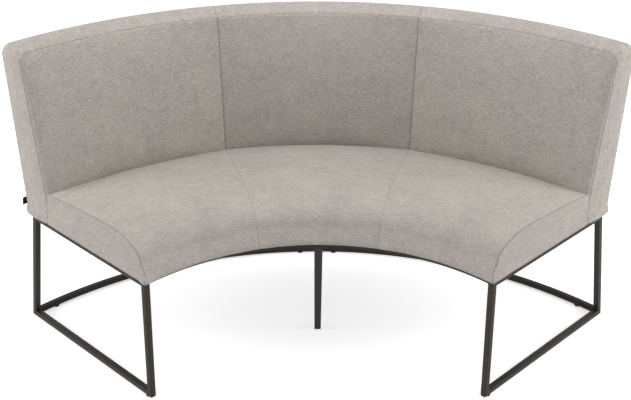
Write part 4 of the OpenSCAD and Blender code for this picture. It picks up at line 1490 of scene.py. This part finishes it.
class BENCH_OT_back(bpy.types.Operator):
    """Builds the back's sewn covers, bands and outer panels, and its foams"""

    bl_idname = "bench.back"
    bl_label = "Back"

    def execute(self, context):
        plan = Plan()
        sewing = plan.sewing
        bases = back_bases(plan)
        names = ["end_front", "middle_front"]
        lifts = dict(zip(names, lifts_of(
            [bases[name][0] for name in names], sewing.puff, sewing.pressure)))
        flat = np.zeros(LIFT_GRID)
        for number, word in enumerate(("left", "centre", "right")):
            kind = "middle" if word == "centre" else "end"
            right = word == "right"
            base, crown = bases[kind + "_front"]
            grid, weave = dressed(
                base, crown, lifts[kind + "_front"], 31 + number, "hab", right=right)
            cover(f"{word}_back_sewn", grid, weave, "back_fabric", f"{word}_back_cover")
            stitched(grid, "h")
            if word != "centre":
                stitched(grid, "b" if right else "a")
            self.foam(plan, word, base, right)
            base, crown = bases[kind + "_band"]
            sewn = "lhab" if kind == "middle" else "lhb"
            grid, weave = dressed(base, crown, flat, 41 + number, sewn, 0.007, right)
            cover(f"{word}_band_sewn", grid, weave, "back_fabric", f"{word}_back_band")
            base, crown = bases[kind + "_outer"]
            grid, weave = dressed(base, crown, flat, 51 + number, "hab", 0.012, right)
            cover(f"{word}_outer_sewn", grid, weave, "back_fabric", f"{word}_outer_back")
            stitched(grid, "h")
        self.top_pad(plan)
        return {"FINISHED"}

    def foam(self, plan, word, base, right):
        """The foam between a back cover and the bent boards."""
        board_gap, below_band = 0.0006, 0.0045
        down, over = np.linspace(0, 1, 60), np.linspace(0, 1, 40)
        surface = base(down, over)
        grid = surface - normals(surface) * plan.foam_in
        z = surface[..., 2] - plan.top
        at = np.arctan2(surface[..., 0], surface[..., 1] + plan.arc_back)
        rear = plan.polar(plan.board_r(z) - board_gap, at, z)
        for side in (grid, rear):
            side[-1, :, 2] -= below_band
        if right:
            grid, rear = mirrored(grid), mirrored(rear)
        mesh = wrapped(f"{word}_back_padding", grid, rear)
        obj = place_piece(f"{word}_back_padding", mesh, "foam", [f"{word}_back_foam"])

    def top_pad(self, plan):
        """The strip of foam under the band."""
        size = plan.size
        gap, under_band, rear_in, bevel = 0.0004, 0.0055, 0.0095, 0.003
        low, high = size.back_h - size.corner_r + gap, size.back_h - under_band
        # The strip's section, from the foot of its front, round by the rear.
        z = np.array([low, low, high - bevel, high, high, high - bevel])
        front, rear = plan.board_r(z) + gap, plan.outer_r(z) - rear_in
        r = np.where([True, False, False, False, True, True], front, rear)
        r = r + np.array([0, 0, 0, -bevel, bevel, 0])
        reach = plan.half - np.arcsin(size.corner_r / r)
        rings = [plan.polar(r, part * reach, z) for part in np.linspace(-1, 1, 160)]
        mesh = prism("back_top_padding", rings)
        obj = place_piece("back_top_padding", mesh, "foam", ["back_top_pad"])


class BENCH_OT_stitches(bpy.types.Operator):
    """Builds the stitches that show along the edge seams"""

    bl_idname = "bench.stitches"
    bl_label = "Stitches"

    def execute(self, context):
        sewing = context.scene.bench_sewing
        tree = bead_tree("stitches")
        half = (len(STITCH_LINES) + 1) // 2
        for number, lines in enumerate((STITCH_LINES[:half], STITCH_LINES[half:])):
            mesh = grown(
                f"stitches_{number + 1}", tree, lines,
                {"Pitch": sewing.stitch_pitch, "Length": sewing.stitch_l,
                 "Width": sewing.stitch_t, "Height": sewing.stitch_t, "Variation": 0.08,
                 "Seed": 5 + number, "Material": finish("thread")},
            )
            place_piece(f"stitches_{number + 1}", mesh, "thread")
        return {"FINISHED"}


class BENCH_OT_tag(bpy.types.Operator):
    """Builds the blank folded tag at the left rear edge of the back"""

    bl_idname = "bench.tag"
    bl_label = "Tag"

    def execute(self, context):
        plan = Plan()
        low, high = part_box("side_tag")
        up, tall = low.z - plan.top, high.z - low.z
        inset, out_to = 0.0016, 0.015
        r = plan.outer_r(up) - inset
        side = np.array([-math.cos(plan.half), -math.sin(plan.half), 0.0])
        depth = np.array([-math.sin(plan.half), math.cos(plan.half), 0.0])
        start = plan.polar(r, -plan.half, 0.0)
        thin, root, apart = 0.0004, 0.0006, 0.0007
        t = np.linspace(0, 1, 10)
        bow = 0.0005 * np.sin(math.pi * t)
        # Out along one leaf, round the fold and back along the other.
        outer = np.concatenate([
            np.stack([root + (out_to - root) * t, -apart - bow], -1),
            [[out_to + 0.0006, -0.0004], [out_to + 0.0008, 0.0], [out_to + 0.0006, 0.0004]],
            np.stack([root + (out_to - root) * t[::-1], apart + bow[::-1]], -1),
        ])
        tangent = np.gradient(outer, axis=0)
        inward = np.stack([-tangent[:, 1], tangent[:, 0]], -1)
        inner = outer + inward / np.linalg.norm(inward, axis=1, keepdims=True) * thin
        heights = np.linspace(up, up + tall, 9)

        def sheet(line):
            return np.stack([
                start + side * (a * (1 - 0.02 * k)) + depth * b
                + np.array([0, 0, z + 0.0006 * math.sin(a * 190)])
                for k, z in enumerate(heights) for a, b in line
            ]).reshape(len(heights), len(line), 3)

        mesh = wrapped("side_tag_tape", sheet(outer), sheet(inner))
        tidy(mesh, 50)
        obj = place_piece("side_tag_tape", mesh, "tag_cloth", ["side_tag"])
        return {"FINISHED"}


class BENCH_OT_stage(bpy.types.Operator):
    """Sets the pale floor, the soft lights and the camera"""

    bl_idname = "bench.stage"
    bl_label = "Stage"

    def execute(self, context):
        studio = context.scene.bench_studio
        far = 9
        floor = bpy.data.meshes.new("floor")
        floor.from_pydata(
            [(-far, -far, 0), (far, -far, 0), (far, far, 0), (-far, far, 0)], [], [(0, 1, 2, 3)])

        def seen(tree):
            """One for what the camera sees straight or by reflection, nothing for light."""
            ray = add(tree, "ShaderNodeLightPath")
            rays = ray + ray.other("Is Glossy Ray") + ray.other("Is Transmission Ray")
            return rays.math("MINIMUM", rays, 1.0)

        def build(tree):
            place = object_place(tree)
            cloud = noise(tree, place, 1.5, 3.0)
            return {
                "Base Color": blend(tree, cloud, solid(studio.floor, 0.985), solid(studio.floor)),
                "Emission Color": blend(
                    tree, seen(tree), solid((0, 0, 0)), solid(studio.backdrop)),
            }

        constants = {"Roughness": 0.9, "Specular IOR Level": 0.1, "Emission Strength": 1.0}
        floor.materials.append(shader("floor", constants, build))
        ground = bpy.data.objects.new("floor", floor)
        context.scene.collection.objects.link(ground)

        world = bpy.data.worlds.new("studio")
        world.use_nodes = True
        sky = world.node_tree.nodes["Background"]
        sky.inputs["Color"].default_value = (1.0, 1.0, 1.0, 1.0)
        strength = seen(world.node_tree) * (1.0 - studio.sky) + studio.sky
        world.node_tree.links.new(strength.socket, sky.inputs["Strength"])
        context.scene.world = world
        context.scene.view_settings.view_transform = "Standard"

        self.light("top", (0.0, 0.1, 3.4), studio.top_light)
        self.light("left", (-3.4, -0.6, 1.9), studio.left_light)
        self.light("right", (3.4, -0.6, 1.9), studio.right_light)

        camera = bpy.data.cameras.new("camera")
        camera.lens = studio.lens
        camera.sensor_width = 36.0
        obj = bpy.data.objects.new("camera", camera)
        pitch, yaw, roll = studio.pitch, studio.yaw, studio.roll
        ahead = Vector((math.sin(yaw) * math.cos(pitch), math.cos(yaw) * math.cos(pitch),
                        -math.sin(pitch)))
        level = Vector((math.cos(yaw), -math.sin(yaw), 0.0))
        upright = level.cross(ahead)
        right = math.cos(roll) * level + math.sin(roll) * upright
        up = -math.sin(roll) * level + math.cos(roll) * upright
        turn = Matrix((right, up, -ahead)).transposed()
        obj.matrix_world = Matrix.Translation(studio.place) @ turn.to_4x4()
        context.scene.collection.objects.link(obj)
        context.scene.camera = obj
        return {"FINISHED"}

    def light(self, name, place, power):
        """A square soft light that faces the bench's middle."""
        target, width = (0.0, 0.1, 0.5), 1.8
        lamp = bpy.data.lights.new(name, "AREA")
        lamp.size = width
        lamp.energy = power
        obj = bpy.data.objects.new(name, lamp)
        obj.location = place
        obj.rotation_euler = (Vector(target) - Vector(place)).to_track_quat("-Z", "Y").to_euler()
        bpy.context.scene.collection.objects.link(obj)


class BENCH_PT_panel(bpy.types.Panel):
    """Lists the bench's pieces and sizes"""

    bl_idname = "BENCH_PT_panel"
    bl_label = "Bench"
    bl_space_type = "VIEW_3D"
    bl_region_type = "UI"
    bl_category = "Bench"

    def draw(self, context):
        for operator in OPERATORS:
            self.layout.operator(operator.bl_idname)
        for group in ("bench_sizes", "bench_sewing", "bench_looks", "bench_studio"):
            held = getattr(context.scene, group)
            box = self.layout.box()
            for key in type(held).__annotations__:
                box.prop(held, key)


OPERATORS = (
    BENCH_OT_frame, BENCH_OT_centre_leg, BENCH_OT_welds, BENCH_OT_glides, BENCH_OT_inside,
    BENCH_OT_seat, BENCH_OT_back, BENCH_OT_stitches, BENCH_OT_tag, BENCH_OT_stage,
)
GROUPS = {
    "bench_sizes": BenchSizes, "bench_sewing": Sewing, "bench_looks": Looks,
    "bench_studio": Studio,
}


def register():
    for group, kind in GROUPS.items():
        bpy.utils.register_class(kind)
        setattr(bpy.types.Scene, group, PointerProperty(type=kind))
    for operator in OPERATORS:
        bpy.utils.register_class(operator)
    bpy.utils.register_class(BENCH_PT_panel)


def unregister():
    bpy.utils.unregister_class(BENCH_PT_panel)
    for operator in reversed(OPERATORS):
        bpy.utils.unregister_class(operator)
    for group, kind in GROUPS.items():
        delattr(bpy.types.Scene, group)
        bpy.utils.unregister_class(kind)


def main():
    register()
    for operator in OPERATORS:
        group, name = operator.bl_idname.split(".")
        getattr(getattr(bpy.ops, group), name)()
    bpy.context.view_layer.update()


if __name__ == "__main__":
    main()
